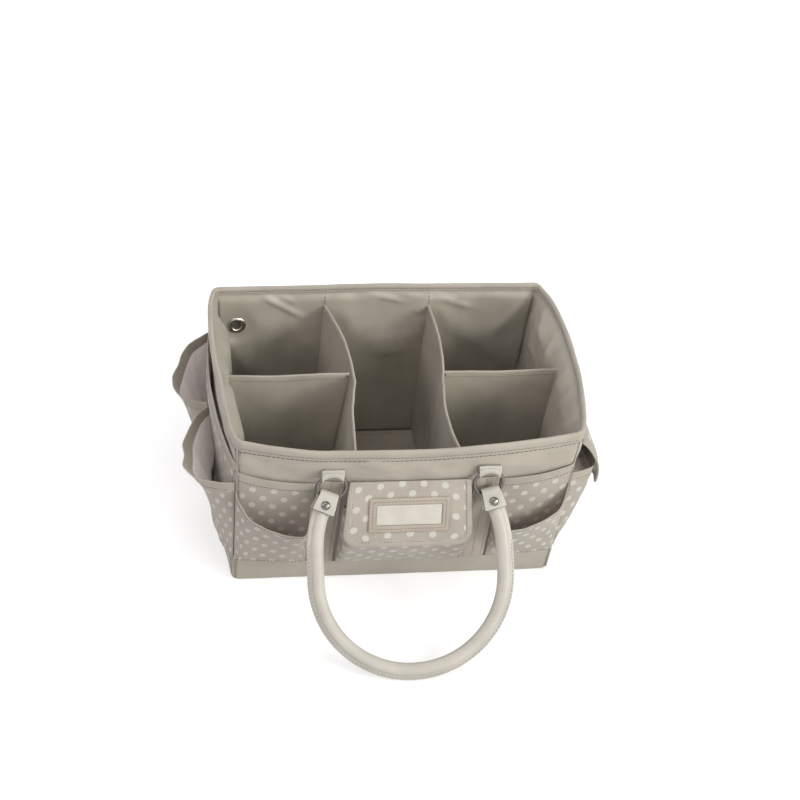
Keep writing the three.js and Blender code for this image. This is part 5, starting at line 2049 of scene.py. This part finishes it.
class OBJECT_OT_organizer_bag_eyelet(bpy.types.Operator):
    """Metal eyelet through the back wall"""
    bl_idname = "organizer_bag.eyelet"
    bl_label = "Eyelet"

    def execute(self, context):
        profile = [(5.1, -2.3), (5.1, 0.4), (5.6, 1.3), (7.2, 1.75), (9.4, 1.25), (10.9, 0.35), (10.9, 0.05),
                   (6.4, 0.0), (6.0, -2.3), (6.4, -4.6), (10.9, -4.65), (10.9, -4.95), (9.4, -5.85),
                   (7.2, -6.35), (5.6, -5.9), (5.1, -5.0)]
        turns = 48
        wall = WALLS["back"]
        middle = beside(wall, EYELET_X, 0, EYELET_Z)
        above = beside(wall, EYELET_X, 0, EYELET_Z + 5) - middle
        beyond = beside(wall, EYELET_X + 5, 0, EYELET_Z) - middle
        up, side = above.normalized(), beyond.normalized()
        out = up.cross(side).normalized()
        if out.y < 0:
            out = -out

        def place(i, j):
            radius, height = profile[j % len(profile)]
            angle = 2 * math.pi * i / turns
            return middle + side * radius * math.cos(angle) + up * radius * math.sin(angle) + out * height

        piece = grid("eyelet_metal", turns, len(profile), place)
        edit(piece, weld, outward)
        round_off(piece)
        dress(piece, "bag", "nickel", "eyelet_plating", replaces=("eyelet",))
        return {"FINISHED"}


class OBJECT_OT_organizer_bag_seams(bpy.types.Operator):
    """Dark stitches beside the corner welts"""
    bl_idname = "organizer_bag.seams"
    bl_label = "Corner seams"

    def execute(self, context):
        rows = []
        for name, wall in WALLS.items():
            for sign in (-1, 1):
                def at(t, rise, wall=wall, sign=sign):
                    z = lerp(4, 196, t)
                    out = 3.1 - 2.9 * smooth(z, 158, 168) if z > BAND_HEIGHT else 2.2
                    return beside(wall, sign * (wall.end(z) - 2.4) - rise * wall.sense, out, z)
                rows.append((at, 80))
        sew("corner_stitches", rows, "bag", "plain_cloth", "seam_thread")
        return {"FINISHED"}


# Light, floor and camera
CAMERA_PLACE = (-0.5009, -2.0597, 2.0023)
CAMERA_DOWN = math.radians(41.10)
CAMERA_TURN = math.radians(-13.99)
CAMERA_ROLL = math.radians(8.01)
CAMERA_LENS = 115.34
SENSOR = 36

# Colours of the lamps' light
WHITE_LIGHT = (1.0, 1.0, 1.0)
LEFT_LIGHT = (1.0, 0.93, 0.97)
RIGHT_LIGHT = (0.99, 1.0, 0.91)


class OBJECT_OT_organizer_bag_stage(bpy.types.Operator):
    """Pale floor, soft lamps and the camera at the photograph's angle"""
    bl_idname = "organizer_bag.stage"
    bl_label = "Stage"

    def execute(self, context):
        stage = context.scene.organizer_bag_stage
        self.floor()
        self.world(stage.fill)
        self.lamp("key_lamp", (1.2, -2.3, 1.3), 1.8, stage.key, WHITE_LIGHT)
        self.lamp("left_lamp", (-2.1, -0.7, 1.7), 1.0, stage.side * 0.6, LEFT_LIGHT)
        self.lamp("right_lamp", (2.0, -1.4, 1.3), 1.0, stage.side * 1.4, RIGHT_LIGHT)
        self.lamp("top_lamp", (-0.5, -0.5, 2.8), 1.2, stage.side * 0.45, WHITE_LIGHT)
        self.lamp("back_lamp", (-0.4, 2.2, 1.7), 1.8, stage.side * 0.3, WHITE_LIGHT)
        self.camera(context)
        context.scene.view_settings.view_transform = "Standard"
        return {"FINISHED"}

    def floor(self):
        pick()
        bpy.ops.mesh.primitive_plane_add(size=16, location=(0, 0, -0.0004))
        floor = bpy.context.object
        floor.name = "studio_floor"
        recipe = Recipe("studio_floor")
        tone = recipe.mix(recipe.cloud(40, 3.0), (0.60, 0.60, 0.60, 1), (0.62, 0.62, 0.62, 1))
        recipe.set(Base_Color=tone, Roughness=0.9, Specular_IOR_Level=0.1, Emission_Color=(1, 1, 1, 1),
                   Emission_Strength=recipe.sum("MULTIPLY", recipe.seen(), 0.52))
        floor.data.materials.append(recipe.material)

    def world(self, fill):
        world = bpy.data.worlds.new("studio")
        bpy.context.scene.world = world
        world.use_nodes = True
        nodes = Nodes(world.node_tree)
        light = nodes.tree.nodes["Background"]
        nodes.put(light.inputs["Color"], (1, 1, 1, 1))
        nodes.put(light.inputs["Strength"], nodes.ramp(nodes.seen(), 0.0, 1.0, fill, 1.0))

    def lamp(self, name, place, size, power, colour):
        pick()
        bpy.ops.object.light_add(type="AREA", location=place)
        lamp = bpy.context.object
        lamp.name = name
        lamp.data.shape = "DISK"
        lamp.data.size = size
        lamp.data.energy = power
        lamp.data.color = colour
        lamp.rotation_euler = (Vector((0, 0, 0.1)) - Vector(place)).to_track_quat("-Z", "Y").to_euler()

    def camera(self, context):
        down, turn, roll = CAMERA_DOWN, CAMERA_TURN, CAMERA_ROLL
        ahead = Vector((-math.sin(turn) * math.cos(down), math.cos(turn) * math.cos(down), -math.sin(down)))
        right = ahead.cross(Vector((0, 0, 1))).normalized()
        up = right.cross(ahead)
        rolled_right = right * math.cos(roll) + up * math.sin(roll)
        rolled_up = up * math.cos(roll) - right * math.sin(roll)
        lens = bpy.data.cameras.new("photo_camera")
        lens.lens = CAMERA_LENS
        lens.sensor_width = SENSOR
        lens.clip_end = 60
        camera = bpy.data.objects.new("photo_camera", lens)
        context.scene.collection.objects.link(camera)
        axes = Matrix((rolled_right, rolled_up, -ahead)).transposed().to_4x4()
        camera.matrix_world = Matrix.Translation(CAMERA_PLACE) @ axes
        context.scene.camera = camera


PIECES = (
    OBJECT_OT_organizer_bag_walls,
    OBJECT_OT_organizer_bag_lining,
    OBJECT_OT_organizer_bag_binding,
    OBJECT_OT_organizer_bag_dividers,
    OBJECT_OT_organizer_bag_front_pockets,
    OBJECT_OT_organizer_bag_middle_pocket,
    OBJECT_OT_organizer_bag_front_flap,
    OBJECT_OT_organizer_bag_label,
    OBJECT_OT_organizer_bag_straps,
    OBJECT_OT_organizer_bag_rings,
    OBJECT_OT_organizer_bag_handles,
    OBJECT_OT_organizer_bag_left_pockets,
    OBJECT_OT_organizer_bag_right_pockets,
    OBJECT_OT_organizer_bag_back_pockets,
    OBJECT_OT_organizer_bag_eyelet,
    OBJECT_OT_organizer_bag_seams,
    OBJECT_OT_organizer_bag_stage,
)


class VIEW3D_PT_organizer_bag(bpy.types.Panel):
    """The bag's pieces and settings"""
    bl_idname = "VIEW3D_PT_organizer_bag"
    bl_label = "Organizer Bag"
    bl_space_type = "VIEW_3D"
    bl_region_type = "UI"
    bl_category = "Organizer Bag"

    def draw(self, context):
        layout = self.layout
        for group in SETTINGS:
            box = layout.box()
            settings = getattr(context.scene, group)
            for name in settings.bl_rna.properties.keys():
                if name not in ("rna_type", "name"):
                    box.prop(settings, name)
        for piece in PIECES:
            layout.operator(piece.bl_idname)


SETTINGS = {
    "organizer_bag_sizes": OrganizerBagSizes,
    "organizer_bag_colours": OrganizerBagColours,
    "organizer_bag_stage": OrganizerBagStage,
}
CLASSES = (*SETTINGS.values(), *PIECES, VIEW3D_PT_organizer_bag)


def register():
    for item in CLASSES:
        bpy.utils.register_class(item)
    for name, group in SETTINGS.items():
        setattr(bpy.types.Scene, name, PointerProperty(type=group))


def unregister():
    for name in SETTINGS:
        delattr(bpy.types.Scene, name)
    for item in reversed(CLASSES):
        bpy.utils.unregister_class(item)


def main():
    register()
    for piece in PIECES:
        group, name = piece.bl_idname.split(".")
        getattr(getattr(bpy.ops, group), name)()


if __name__ == "__main__":
    main()
